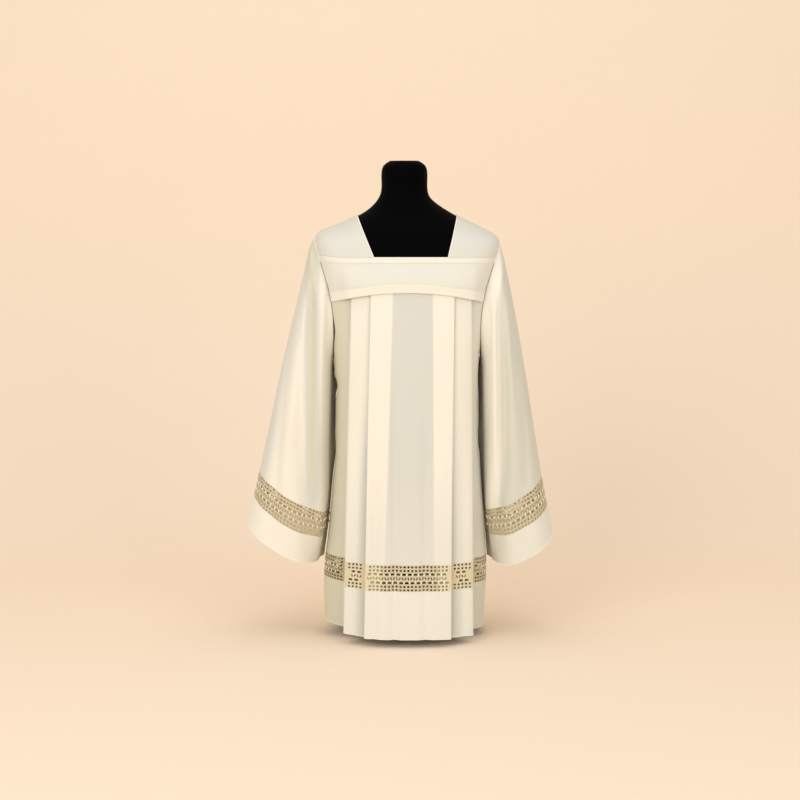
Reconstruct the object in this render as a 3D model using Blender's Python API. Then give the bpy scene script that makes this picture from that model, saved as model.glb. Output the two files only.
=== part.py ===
# A surplice, a wide-sleeved linen tunic with lace insertions, on a limbless dress form.
# Units are metres, +Z is up and the front faces -Y.
# The origin is under the middle of the stand's base, on the surface it stands on.
import math
from collections import namedtuple

import bmesh
import bpy

# Cloth and seams
WALL = 0.0012
SEAM_GAP = 0.0003
HALF_SEAM = 0.0002

# Heights of the seams and edges on the body
HEM_Z = 0.030
LACE_BOTTOM_Z = 0.136
LACE_TOP_Z = 0.194
YOKE_BOTTOM_Z = 0.789
NECKLINE_FRONT_Z = 0.8645
NECKLINE_BACK_Z = 0.884
NECK_POINT_Z = 0.9545
HEM_SIDE_RISE = {"left": 0.011, "right": 0.0005}
YOKE_SIDE_DROP = 0.019
YOKE_DROP_FROM_Z = 0.600
HEM_RISE_TO_Z = 0.294
SIDE_REFERENCE_X = 0.160
SIDE_REACH_MOST = 1.15

# The square neckline, as distances from the middle
NECK_CORNER_X = {"left": 0.0726, "right": 0.0886}
NECK_EDGE_POWER = 1.9
SHOULDER_RISE = 0.0014

# The armhole, an upright oval whose lower half is a little fuller
ARMHOLE_TOP_Z = 0.905
ARMHOLE_BOTTOM_Z = 0.640
ARMHOLE_HALF_DEPTH = 0.078
ARMHOLE_LOWER_FULLNESS = 0.012
ARMHOLE_ROUNDNESS = 0.9
ARMHOLE_GAP = 0.0019

# The cloth's ease over the form above the yoke seam
EASE_WIDTH = 0.0025
EASE_DEPTH = 0.0050
EASE_FROM_Z = 0.800

# The left shoulder's tip stands higher than the right one's
SHOULDER_TIP_RISE = {"left": 0.0070, "right": 0.0}
TIP_RISE_FROM_X = 0.130
TIP_RISE_TO_X = 0.200
TIP_RISE_FROM_Z = 0.800
TIP_RISE_TO_Z = 0.905

# The form and the cloth stand this much lower than their tables say, so that the hem hides the base
GARMENT_DROP = 0.012

# Pleats: each side has two knife pleats that face outwards from a wide middle panel
Pleats = namedtuple(
    "Pleats", "z first_fold second_fold first_under second_under first_lift second_lift")
PLEATS = {
    "left": [
        Pleats(0.030, 0.095, 0.141, 0.039, 0.036, 0.016, 0.060),
        Pleats(0.300, 0.090, 0.135, 0.040, 0.038, 0.012, 0.034),
        Pleats(0.560, 0.085, 0.128, 0.042, 0.040, 0.0085, 0.015),
        Pleats(0.800, 0.079, 0.121, 0.044, 0.041, 0.0056, 0.0056),
    ],
    "right": [
        Pleats(0.030, 0.097, 0.147, 0.035, 0.036, 0.016, 0.060),
        Pleats(0.300, 0.098, 0.145, 0.038, 0.037, 0.012, 0.034),
        Pleats(0.560, 0.101, 0.143, 0.042, 0.039, 0.0085, 0.015),
        Pleats(0.800, 0.103, 0.140, 0.045, 0.036, 0.0056, 0.0056),
    ],
}
FOLD_RADIUS = 0.0013
MIDDLE_BLEND_X = 0.02
YOKE_OVER_PLEATS = 0.0031
YOKE_LIFT_FROM_Z = 0.797
YOKE_LIFT_TO_Z = 0.868
YOKE_STEP_START = 0.003
YOKE_STEP_LENGTH = 0.024
HEM_PULL = {"left": 0.0, "right": 0.07}
HEM_PULL_FROM_Z = 0.300

# Soft folds in the hanging skirt: place is the height's share, swell is how far the cloth stands out
Ripple = namedtuple("Ripple", "side panel place half_width swell low_z high_z")
RIPPLES = [
    Ripple("left", "centre", 0.30, 0.16, -0.0050, 0.03, 0.70),
    Ripple("left", "centre", 0.78, 0.14, -0.0040, 0.03, 0.50),
    Ripple("right", "centre", 0.42, 0.17, -0.0045, 0.03, 0.62),
    Ripple("right", "second", 0.55, 0.30, -0.0030, 0.03, 0.55),
    Ripple("left", "second", 0.50, 0.28, -0.0030, 0.03, 0.60),
]

# Horizontal sections, as superellipses: half width along X, half depth along Y and power
Section = namedtuple("Section", "z half_width half_depth power")
FORM_SECTIONS = [
    Section(0.262, 0.116, 0.060, 2.2),
    Section(0.272, 0.133, 0.072, 2.3),
    Section(0.310, 0.145, 0.081, 2.4),
    Section(0.380, 0.146, 0.084, 2.5),
    Section(0.470, 0.142, 0.085, 2.5),
    Section(0.560, 0.142, 0.091, 2.6),
    Section(0.650, 0.149, 0.101, 3.2),
    Section(0.730, 0.161, 0.110, 3.8),
    Section(0.800, 0.177, 0.115, 4.1),
    Section(0.850, 0.190, 0.112, 4.0),
    Section(0.880, 0.1995, 0.106, 3.5),
    Section(0.898, 0.2015, 0.099, 3.0),
    Section(0.910, 0.1935, 0.0935, 2.7),
    Section(0.925, 0.1670, 0.086, 2.5),
    Section(0.940, 0.1370, 0.077, 2.4),
    Section(0.9555, 0.1065, 0.068, 2.2),
    Section(0.970, 0.0830, 0.061, 2.1),
    Section(0.985, 0.0650, 0.055, 2.0),
    Section(0.999, 0.0545, 0.051, 2.0),
    Section(1.016, 0.0510, 0.0495, 2.0),
    Section(1.050, 0.0508, 0.0490, 2.0),
    Section(1.066, 0.0455, 0.0440, 2.0),
    Section(1.075, 0.0320, 0.0310, 2.0),
]
BODY_SECTIONS = [
    Section(0.030, 0.187, 0.084, 2.6),
    Section(0.150, 0.187, 0.090, 2.6),
    Section(0.250, 0.177, 0.097, 2.7),
    Section(0.350, 0.168, 0.103, 2.8),
    Section(0.450, 0.162, 0.108, 3.0),
    Section(0.550, 0.160, 0.112, 3.2),
    Section(0.640, 0.163, 0.116, 3.6),
    Section(0.700, 0.167, 0.118, 4.0),
    Section(0.750, 0.172, 0.119, 4.1),
    Section(0.800, 0.1795, 0.119, 4.1),
]
NECK_SHIFT_X = -0.006
NECK_SHIFT_FROM_Z = 0.960
NECK_SHIFT_TO_Z = 1.000

# Sleeves: each row is one ring, from its point on the outer edge to its point on the inner edge
SleeveRing = namedtuple("SleeveRing", "outer_x outer_z inner_x inner_z half_depth")
SLEEVE_RINGS = {
    "left": [
        SleeveRing(0.2170, 0.878, 0.1672, 0.612, 0.092),
        SleeveRing(0.2470, 0.758, 0.1700, 0.540, 0.097),
        SleeveRing(0.2820, 0.612, 0.1730, 0.448, 0.097),
        SleeveRing(0.3145, 0.462, 0.1745, 0.352, 0.093),
        SleeveRing(0.3320, 0.385, 0.1795, 0.297, 0.091),
    ],
    "right": [
        SleeveRing(0.2150, 0.862, 0.1672, 0.612, 0.092),
        SleeveRing(0.2390, 0.748, 0.1695, 0.540, 0.096),
        SleeveRing(0.2640, 0.610, 0.1720, 0.450, 0.095),
        SleeveRing(0.2895, 0.455, 0.1735, 0.358, 0.091),
        SleeveRing(0.3030, 0.374, 0.1770, 0.303, 0.089),
    ],
}
SLEEVE_LACE_END = {
    "left": SleeveRing(0.3445, 0.330, 0.1885, 0.240, 0.090),
    "right": SleeveRing(0.3160, 0.309, 0.1855, 0.245, 0.088),
}
SLEEVE_CUFF_END = {
    "left": SleeveRing(0.3590, 0.268, 0.2000, 0.184, 0.089),
    "right": SleeveRing(0.3300, 0.245, 0.1950, 0.184, 0.087),
}
SLEEVE_POWER = 2.35
SLEEVE_LENGTH = 0.450
LACE_END_PLACE = 1.13
HEM_PLACE = 1.27
SLEEVE_FRONT_SAG = 0.013
SLEEVE_BACK_SAG = 0.006
SLEEVE_COLUMNS = 28
SLEEVE_ROWS = 9

# Sleeve folds: angles run from the outer edge (0) over the front (90) to the inner edge (180)
SleeveFold = namedtuple("SleeveFold", "side top_angle low_angle half_width depth start end")
SLEEVE_FOLDS = [
    SleeveFold("left", 52, 116, 26, -0.012, 0.02, 1.30),
    SleeveFold("left", 92, 148, 20, 0.004, 0.10, 1.50),
    SleeveFold("left", 24, 62, 22, -0.005, 0.25, 1.50),
    SleeveFold("left", 302, 244, 28, -0.011, 0.05, 1.35),
    SleeveFold("left", 334, 296, 24, -0.005, 0.30, 1.50),
    SleeveFold("right", 58, 124, 26, -0.011, 0.02, 1.25),
    SleeveFold("right", 96, 156, 20, 0.004, 0.10, 1.50),
    SleeveFold("right", 26, 76, 24, -0.006, 0.30, 1.50),
    SleeveFold("right", 300, 238, 26, -0.011, 0.05, 1.30),
    SleeveFold("right", 330, 290, 24, -0.005, 0.35, 1.50),
]

# Lace: two rows of wide gaps are cut through, the lower row half a pitch along
LACE_PITCH = 0.0126
LACE_GAP_WIDTH = 0.0086
LACE_GAP_HEIGHT = 0.0048
LACE_UPPER_GAP_SHARE = 0.348
LACE_LOWER_GAP_SHARE = 0.671
LACE_MARGIN = 0.0030
LACE_END_INSET = 0.004
LACE_PANEL_GAPS_MOST = 60
LACE_SIDE_GAPS_MOST = 4
LACE_SLEEVE_GAPS_MOST = 22

# Mesh steps
CENTRE_CUTS = [0.0, 0.17, 0.33, 0.5, 0.67, 0.83, 1.0]
SECOND_CUTS = [0.0, 0.5, 1.0]
SIDE_CUTS = [0.0, 0.25, 0.5, 0.75, 1.0]
SKIRT_LEVELS = [0.797, 0.765, 0.730, 0.690, 0.660, 0.640, 0.540, 0.420, 0.300, LACE_TOP_Z + HALF_SEAM]
YOKE_COLUMNS = 24
YOKE_ROWS = 4
SHOULDER_ROWS = 12
SHOULDER_COLUMNS = 8
FORM_COLUMNS = 28

# The stand under the form
POLE_RADIUS = 0.0125
BASE_HALF_WIDTH = 0.120
BASE_HALF_DEPTH = 0.085
BASE_THICKNESS = 0.012
BASE_EDGE_BEVEL = 0.002
ROUND_STEPS = 32
POLE_STEPS = 20

LINEN_COLOUR = (0.88, 0.83, 0.72, 1.0)
LACE_COLOUR = (0.76, 0.66, 0.45, 1.0)
FORM_COLOUR = (0.008, 0.008, 0.009, 1.0)
STAND_COLOUR = (0.012, 0.012, 0.013, 1.0)

SIGN = {"left": -1.0, "right": 1.0}
FACE_SIGN = {"front": -1.0, "back": 1.0}


def clear_scene():
    for item in list(bpy.data.objects):
        bpy.data.objects.remove(item, do_unlink=True)


def make_material(name, colour, roughness, metallic=0.0):
    material = bpy.data.materials.new(name)
    material.use_nodes = True
    shader = material.node_tree.nodes["Principled BSDF"]
    shader.inputs["Base Color"].default_value = colour
    shader.inputs["Roughness"].default_value = roughness
    shader.inputs["Metallic"].default_value = metallic
    return material


def smooth_step(low, high, value):
    share = min(max((value - low) / (high - low), 0.0), 1.0)
    return share * share * (3.0 - 2.0 * share)


def lerp(first, second, share):
    return first + (second - first) * share


def curve_value(keys, values, key):
    """A smooth curve through the values, level past both ends."""
    if key <= keys[0]:
        return values[0]
    if key >= keys[-1]:
        return values[-1]
    index = max(i for i in range(len(keys) - 1) if keys[i] <= key)
    span = keys[index + 1] - keys[index]
    share = (key - keys[index]) / span
    slopes = []
    for i in (index, index + 1):
        before = max(i - 1, 0)
        after = min(i + 1, len(keys) - 1)
        slopes.append((values[after] - values[before]) / (keys[after] - keys[before]) * span)
    square = share * share
    cube = square * share
    return ((2 * cube - 3 * square + 1) * values[index] + (cube - 2 * square + share) * slopes[0]
            + (3 * square - 2 * cube) * values[index + 1] + (cube - square) * slopes[1])


def table_row(table, z):
    """The table's columns at height z, as a row of the same kind."""
    keys = [row.z for row in table]
    columns = zip(*table)
    return type(table[0])(*[curve_value(keys, list(column), z) for column in columns])


def cloth_section(z, side):
    """The cloth's section without its pleats: the body table, and the form with ease above it."""
    if z <= EASE_FROM_Z:
        row = table_row(BODY_SECTIONS, z)
        pull = HEM_PULL[side] * (1.0 - smooth_step(HEM_Z, HEM_PULL_FROM_Z, z))
        return row.half_width * (1.0 - pull), row.half_depth, row.power
    row = table_row(FORM_SECTIONS, z)
    return row.half_width + EASE_WIDTH, row.half_depth + EASE_DEPTH, row.power


def other_half_axis(share, power):
    """The other coordinate of a superellipse, as a share, for one given as a share."""
    return max(1.0 - min(abs(share), 1.0) ** power, 0.0) ** (1.0 / power)


def base_depth(x, z, side):
    half_width, half_depth, power = cloth_section(z, side)
    return half_depth * other_half_axis(x / half_width, power)


def armhole_angle(z):
    """The angle at which the armhole, with its straight steps, has height z."""
    middle = (ARMHOLE_TOP_Z + ARMHOLE_BOTTOM_Z) / 2
    half_height = (ARMHOLE_TOP_Z - ARMHOLE_BOTTOM_Z) / 2
    share = min(max((z - middle) / half_height, -1.0), 1.0)
    step = 2 * math.pi / SLEEVE_COLUMNS
    index = min(math.floor(math.acos(share) / step + 1e-9), SLEEVE_COLUMNS // 2 - 1)
    upper = math.cos(index * step)
    lower = math.cos((index + 1) * step)
    return (index + (upper - share) / (upper - lower)) * step


def armhole_curve(angle, side):
    """Distance from the middle, depth and height on the armhole; the angle runs from its top."""
    middle = (ARMHOLE_TOP_Z + ARMHOLE_BOTTOM_Z) / 2
    half_height = (ARMHOLE_TOP_Z - ARMHOLE_BOTTOM_Z) / 2
    z = middle + half_height * math.cos(angle)
    fullness = ARMHOLE_HALF_DEPTH - ARMHOLE_LOWER_FULLNESS * math.cos(angle)
    depth = fullness * abs(math.sin(angle)) ** ARMHOLE_ROUNDNESS
    half_width, half_depth, power = cloth_section(z, side)
    return half_width * other_half_axis(depth / half_depth, power), depth, z


def armhole_point(angle, side):
    """The armhole with straight steps, which every piece sewn to it shares."""
    step = 2 * math.pi / SLEEVE_COLUMNS
    index = math.floor(angle / step + 1e-9)
    share = angle / step - index
    before = armhole_curve(index * step, side)
    after = armhole_curve((index + 1) * step, side)
    return tuple(lerp(a, b, share) for a, b in zip(before, after))


def settle(point):
    """Raises the shoulder's tip, shifts the neck and lowers everything, for form and cloth alike."""
    x, y, z = point
    side = "left" if x < 0 else "right"
    rise = SHOULDER_TIP_RISE[side] * smooth_step(TIP_RISE_FROM_X, TIP_RISE_TO_X, abs(x))
    rise *= smooth_step(TIP_RISE_FROM_Z, TIP_RISE_TO_Z, z)
    shift = NECK_SHIFT_X * smooth_step(NECK_SHIFT_FROM_Z, NECK_SHIFT_TO_Z, z)
    return (x + shift, y, z + rise - GARMENT_DROP)


def panel_ripple(side, panel, place, z):
    """How far a panel stands out at a place across it, from its soft folds."""
    total = 0.0
    for ripple in RIPPLES:
        if ripple.side != side or ripple.panel != panel:
            continue
        across = abs(place - ripple.place) / ripple.half_width
        if across >= 1.0:
            continue
        fade = 1.0 - smooth_step(ripple.low_z + 0.5 * (ripple.high_z - ripple.low_z), ripple.high_z, z)
        total += ripple.swell * 0.5 * (1.0 + math.cos(math.pi * across)) * fade
    return total


def centre_points(z, cuts):
    """The middle panel from its left fold to its right fold, as (x, depth) pairs."""
    left = table_row(PLEATS["left"], z)
    right = table_row(PLEATS["right"], z)
    start = -(left.first_fold - FOLD_RADIUS)
    end = right.first_fold - FOLD_RADIUS
    points = []
    for cut in cuts:
        x = lerp(start, end, cut)
        side = "left" if x < 0 else "right"
        share = smooth_step(-MIDDLE_BLEND_X, MIDDLE_BLEND_X, x)
        lift = lerp(left.first_lift + left.second_lift, right.first_lift + right.second_lift, share)
        depth = base_depth(x, z, side) + lift
        place = abs(x / (start if x < 0 else end))
        points.append((x, depth + panel_ripple(side, "centre", place, z)))
    return points


def side_panel_points(z, side, row, cuts):
    """The side panel from the second fold to the side seam or the armhole."""
    start_x = row.second_fold
    half_width, half_depth, power = cloth_section(z, side)
    if z > ARMHOLE_BOTTOM_Z:
        end_x, end_depth, _ = armhole_point(armhole_angle(z), side)
    else:
        end_x, end_depth = half_width, 0.0
    start_depth = base_depth(start_x, z, side)

    def angle_at(x, depth):
        return math.atan2((depth / half_depth) ** (power / 2), (x / half_width) ** (power / 2))

    start_angle = angle_at(start_x, start_depth)
    end_angle = angle_at(end_x, end_depth)
    points = []
    for cut in cuts:
        angle = lerp(start_angle, end_angle, cut)
        x = half_width * max(math.cos(angle), 0.0) ** (2 / power)
        depth = half_depth * max(math.sin(angle), 0.0) ** (2 / power)
        points.append((x, max(depth, SEAM_GAP)))
    return points


def outer_points(z, side, second_cuts, side_cuts):
    """One side from the first fold outwards: under, second pleat, under and side panel."""
    row = table_row(PLEATS[side], z)
    radius = FOLD_RADIUS

    def level(x, lift):
        return base_depth(x, z, side) + lift

    top_lift = row.first_lift + row.second_lift
    fold = row.first_fold
    inner = row.first_fold - row.first_under
    points = [
        (fold, level(fold, top_lift) - radius),
        (fold - radius, level(fold, top_lift) - 2 * radius),
        (inner + radius, level(inner, row.second_lift) + 2 * radius),
        (inner, level(inner, row.second_lift) + radius),
        (inner + radius, level(inner, row.second_lift)),
    ]
    fold = row.second_fold
    inner = row.second_fold - row.second_under
    for cut in second_cuts:
        x = lerp(row.first_fold + radius, fold - radius, cut)
        points.append((x, level(x, row.second_lift) + panel_ripple(side, "second", cut, z)))
    points += [
        (fold, level(fold, row.second_lift) - radius),
        (fold - radius, level(fold, row.second_lift) - 2 * radius),
        (inner + radius, level(inner, 0.0) + 2 * radius),
        (inner, level(inner, 0.0) + radius),
        (inner + radius, level(inner, 0.0)),
    ]
    return points + side_panel_points(z, side, row, side_cuts)


def body_row(nominal_z, face, cuts):
    """One level of the pleated body from the left side to the right, as 3-D points."""
    centre_cuts = cuts["centre"]

    def flat_row(z):
        left = outer_points(z, "left", cuts["second_left"], cuts["side_left"])
        right = outer_points(z, "right", cuts["second_right"], cuts["side_right"])
        return [(-x, depth) for x, depth in reversed(left)] + centre_points(z, centre_cuts) + right

    points = []
    for index, (x, depth) in enumerate(flat_row(nominal_z)):
        reach = min(abs(x) / SIDE_REFERENCE_X, SIDE_REACH_MOST)
        drop = YOKE_SIDE_DROP * reach ** 2 * smooth_step(YOKE_DROP_FROM_Z, YOKE_BOTTOM_Z, nominal_z)
        side = "left" if x < 0 else "right"
        rise = HEM_SIDE_RISE[side] * reach ** 3 * (1.0 - smooth_step(HEM_Z, HEM_RISE_TO_Z, nominal_z))
        z = nominal_z - drop + rise
        x, depth = flat_row(nominal_z - drop)[index] if drop > 0 else (x, depth)
        points.append(settle((x, FACE_SIGN[face] * depth, z)))
    return points


PLAIN_CUTS = {"centre": CENTRE_CUTS, "second_left": SECOND_CUTS, "second_right": SECOND_CUTS,
              "side_left": SIDE_CUTS, "side_right": SIDE_CUTS}


def add_object(name, mesh, material):
    mesh.materials.append(material)
    item = bpy.data.objects.new(name, mesh)
    bpy.context.collection.objects.link(item)
    mesh.shade_smooth()
    mesh.set_sharp_from_angle(angle=math.radians(40))
    return item


def finish_sheet(name, form, face_sign, material):
    """Turns a sheet's faces outwards and gives it the wall's thickness to both sides."""
    if face_sign > 0:
        bmesh.ops.reverse_faces(form, faces=form.faces)
    mesh = bpy.data.meshes.new(name)
    form.to_mesh(mesh)
    form.free()
    item = add_object(name, mesh, material)
    wall = item.modifiers.new("Wall", "SOLIDIFY")
    wall.thickness = WALL
    wall.offset = 0.0
    wall.use_even_offset = False
    return item


def grid_sheet(name, rows, face_sign, material, closed=False):
    """A sheet from rows of points, the upper row first; closed joins each row's ends."""
    form = bmesh.new()
    vertex_rows = [[form.verts.new(point) for point in row] for row in rows]
    count = len(rows[0])
    steps = count if closed else count - 1
    for upper, lower in zip(vertex_rows, vertex_rows[1:]):
        for i in range(steps):
            j = (i + 1) % count
            form.faces.new((upper[i], lower[i], lower[j], upper[j]))
    return finish_sheet(name, form, face_sign, material)


def zip_rows(form, upper, lower):
    """Fills the strip between two rows that have different numbers of points."""
    i = 0
    j = 0
    while i < len(upper) - 1 or j < len(lower) - 1:
        upper_share = (upper[i + 1][1] if i < len(upper) - 1 else math.inf)
        lower_share = (lower[j + 1][1] if j < len(lower) - 1 else math.inf)
        if upper_share <= lower_share:
            form.faces.new((upper[i][0], lower[j][0], upper[i + 1][0]))
            i += 1
        else:
            form.faces.new((upper[i][0], lower[j][0], lower[j + 1][0]))
            j += 1


def gap_cuts(length, most, lower):
    """Shares along a stretch where gaps start and end, evenly set, shifted on the lower row."""
    room = length - 2 * LACE_MARGIN - LACE_PITCH / 2
    count = min(int((room + LACE_PITCH - LACE_GAP_WIDTH) / LACE_PITCH), most)
    used = count * LACE_PITCH - (LACE_PITCH - LACE_GAP_WIDTH) + LACE_PITCH / 2
    start = (length - used) / 2 + (LACE_PITCH / 2 if lower else 0.0)
    shares = [0.0]
    for i in range(count):
        shares.append((start + i * LACE_PITCH) / length)
        shares.append((start + i * LACE_PITCH + LACE_GAP_WIDTH) / length)
    return shares + [1.0]


def row_length(points):
    return sum(math.dist(a, b) for a, b in zip(points, points[1:]))


def lace_cuts(z, lower):
    """The body lace's cuts: gap edges on the panels that show, plain columns in the folds."""
    left = table_row(PLEATS["left"], z)
    right = table_row(PLEATS["right"], z)
    centre = left.first_fold + right.first_fold - 2 * FOLD_RADIUS
    cuts = {"centre": gap_cuts(centre, LACE_PANEL_GAPS_MOST, lower)}
    for side, row in (("left", left), ("right", right)):
        second = row.second_fold - row.first_fold - 2 * FOLD_RADIUS
        cuts["second_" + side] = gap_cuts(second, LACE_PANEL_GAPS_MOST, lower)
        side_points = side_panel_points(z, side, row, [i / 20 for i in range(21)])
        cuts["side_" + side] = gap_cuts(row_length(side_points), LACE_SIDE_GAPS_MOST, lower)
    return cuts


def gap_flags(cuts):
    """Which steps of a body row are gaps, in the order in which body_row gives its points."""

    def panel_flags(shares):
        return [index % 2 == 1 for index in range(len(shares) - 1)]

    def side_flags(side):
        return ([False] * 5 + panel_flags(cuts["second_" + side]) + [False] * 6
                + panel_flags(cuts["side_" + side]))

    left = list(reversed(side_flags("left")))
    return left + [False] + panel_flags(cuts["centre"]) + [False] + side_flags("right")


def row_shares(points):
    """Each point with its share of the row's length."""
    total = row_length(points)
    shares = [0.0]
    for a, b in zip(points, points[1:]):
        shares.append(shares[-1] + math.dist(a, b) / total)
    return shares


def lace_sheet(name, borders, gap_rows, flags, face_sign, material):
    """A lace strip: a plain upper and lower border row and two rows of gaps between them.

    borders holds the strip's upper and lower edge, and gap_rows the upper and lower edge of
    each row of gaps. flags says which steps of those four rows are gaps.
    """
    form = bmesh.new()

    def placed(points):
        return [(form.verts.new(point), share) for point, share in zip(points, row_shares(points))]

    top = placed(borders[0])
    bottom = placed(borders[1])
    edges = [placed(points) for points in gap_rows]
    zip_rows(form, top, edges[0])
    for upper, lower, is_gap_row in zip(edges, edges[1:], (True, False, True)):
        for i, is_gap in enumerate(flags):
            if is_gap and is_gap_row:
                continue
            form.faces.new((upper[i][0], lower[i][0], lower[i + 1][0], upper[i + 1][0]))
    zip_rows(form, edges[3], bottom)
    return finish_sheet(name, form, face_sign, material)


def gap_edge_shares():
    """Shares of the lace's height at the edges of its two rows of gaps, downwards."""
    half = LACE_GAP_HEIGHT / (LACE_TOP_Z - LACE_BOTTOM_Z) / 2
    return [(LACE_UPPER_GAP_SHARE - half, False), (LACE_UPPER_GAP_SHARE + half, False),
            (LACE_LOWER_GAP_SHARE - half, True), (LACE_LOWER_GAP_SHARE + half, True)]


def make_skirt(face, material):
    rows = [body_row(z, face, PLAIN_CUTS) for z in SKIRT_LEVELS]
    return grid_sheet("skirt_" + face, rows, FACE_SIGN[face], material)


def make_body_lace(face, material):
    middle = (LACE_TOP_Z + LACE_BOTTOM_Z) / 2
    borders = [body_row(z, face, PLAIN_CUTS) for z in (LACE_TOP_Z - HALF_SEAM, LACE_BOTTOM_Z + HALF_SEAM)]
    gap_rows = []
    for share, lower in gap_edge_shares():
        z = lerp(LACE_TOP_Z, LACE_BOTTOM_Z, share)
        gap_rows.append(body_row(z, face, lace_cuts(middle, lower)))
    flags = gap_flags(lace_cuts(middle, False))
    return lace_sheet("lace_" + face, borders, gap_rows, flags, FACE_SIGN[face], material)


def make_hem(face, material):
    rows = [body_row(z, face, PLAIN_CUTS) for z in (LACE_BOTTOM_Z - HALF_SEAM, HEM_Z)]
    return grid_sheet("hem_" + face, rows, FACE_SIGN[face], material)


def yoke_point(u, z, face):
    """A point of the yoke band; u runs from -1 at the left armhole to 1 at the right one."""
    side = "left" if u < 0 else "right"
    _, edge_depth, _ = armhole_point(armhole_angle(z), side)
    half_width, _, power = cloth_section(z, side)
    angle = lerp(math.pi / 2, section_angle(edge_depth, z, side), abs(u))
    x = half_width * math.cos(angle) ** (2 / power)
    fold = table_row(PLEATS[side], YOKE_BOTTOM_Z)
    start = fold.second_fold + YOKE_STEP_START
    stack = (fold.first_lift + fold.second_lift) * (1.0 - smooth_step(start, start + YOKE_STEP_LENGTH, x))
    lift = (stack + YOKE_OVER_PLEATS) * (1.0 - smooth_step(YOKE_LIFT_FROM_Z, YOKE_LIFT_TO_Z, z))
    return (SIGN[side] * x, FACE_SIGN[face] * (base_depth(x, z, side) + lift), z)


def make_yoke(face, material):
    top = (NECKLINE_FRONT_Z if face == "front" else NECKLINE_BACK_Z) - HALF_SEAM
    rows = []
    for i in range(YOKE_ROWS + 1):
        row = []
        for j in range(YOKE_COLUMNS + 1):
            u = 2 * j / YOKE_COLUMNS - 1
            x, _, _ = yoke_point(u, YOKE_BOTTOM_Z, face)
            bottom = YOKE_BOTTOM_Z - YOKE_SIDE_DROP * (x / SIDE_REFERENCE_X) ** 2
            row.append(settle(yoke_point(u, lerp(top, bottom, i / YOKE_ROWS), face)))
        rows.append(row)
    return grid_sheet("yoke_" + face, rows, FACE_SIGN[face], material)


def section_angle(depth, z, side):
    _, half_depth, power = cloth_section(z, side)
    return math.asin(min((depth / half_depth) ** (power / 2), 1.0))


def shoulder_point(side, along, across):
    """along runs from -1 at the front seam over the ridge to 1 at the back; across from the neck out."""
    seam_z = (NECKLINE_FRONT_Z if along < 0 else NECKLINE_BACK_Z) + HALF_SEAM
    reach = abs(along)
    neck_share = other_half_axis(reach, NECK_EDGE_POWER)
    neck_z = lerp(seam_z, NECK_POINT_Z, neck_share)
    neck_x = lerp(NECK_CORNER_X[side], cloth_section(NECK_POINT_Z, side)[0], neck_share)
    neck_angle = section_angle(base_depth(neck_x, neck_z, side), neck_z, side)
    _, arm_depth, arm_z = armhole_point(armhole_angle(seam_z) * reach, side)
    z = lerp(neck_z, arm_z, across)
    angle = lerp(neck_angle, section_angle(arm_depth, arm_z, side), across)
    half_width, half_depth, power = cloth_section(z, side)
    x = half_width * math.cos(angle) ** (2 / power)
    depth = half_depth * math.sin(angle) ** (2 / power)
    y = depth if along > 0 else -depth
    return (SIGN[side] * x, y, z + SHOULDER_RISE * (1.0 - reach))


def make_shoulder(side, material):
    rows = []
    for i in range(SHOULDER_ROWS + 1):
        along = 2 * i / SHOULDER_ROWS - 1
        columns = range(SHOULDER_COLUMNS + 1)
        rows.append([settle(shoulder_point(side, along, j / SHOULDER_COLUMNS)) for j in columns])
    return grid_sheet("shoulder_" + side, rows, SIGN[side], material)


def armhole_ring(side):
    """The sleeve's first ring, just outside the armhole's edge."""
    ring = []
    for k in range(SLEEVE_COLUMNS):
        angle = 2 * math.pi * k / SLEEVE_COLUMNS
        turn = min(angle, 2 * math.pi - angle)
        x, depth, z = armhole_point(turn, side)
        y = -depth if angle <= math.pi else depth
        ring.append((x + ARMHOLE_GAP, y, z))
    return ring


def signed_power(value, power):
    return math.copysign(abs(value) ** power, value)


def sleeve_ring(row, angles, sag_share):
    """A ring of the sleeve at the given angles, as distances from the middle."""
    centre_x = (row.outer_x + row.inner_x) / 2
    centre_z = (row.outer_z + row.inner_z) / 2
    ring = []
    for angle in angles:
        along = signed_power(math.cos(angle), 2 / SLEEVE_POWER)
        across = signed_power(math.sin(angle), 2 / SLEEVE_POWER)
        sag = (SLEEVE_FRONT_SAG if across > 0 else SLEEVE_BACK_SAG) * across * across * sag_share
        ring.append((centre_x + (row.outer_x - row.inner_x) / 2 * along,
                     -row.half_depth * across,
                     centre_z + (row.outer_z - row.inner_z) / 2 * along - sag))
    return ring


def sleeve_folds(side, ring, centre, angles, place):
    """Moves a ring's points to or from its centre for the soft folds; place is 0 at the armhole."""
    moved = []
    for point, angle in zip(ring, angles):
        shift = 0.0
        for fold in SLEEVE_FOLDS:
            if fold.side != side or not fold.start < place < fold.end:
                continue
            fold_angle = math.radians(lerp(fold.top_angle, fold.low_angle, place))
            across = abs(angle - fold_angle) / math.radians(fold.half_width)
            if across < 1.0:
                middle = (place - fold.start) / (fold.end - fold.start)
                fade = math.sin(math.pi * middle)
                shift += fold.depth * 0.5 * (1 + math.cos(math.pi * across)) * fade
        length = math.dist(point, centre)
        moved.append(tuple(p + (p - c) / length * shift for p, c in zip(point, centre)))
    return moved


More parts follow.
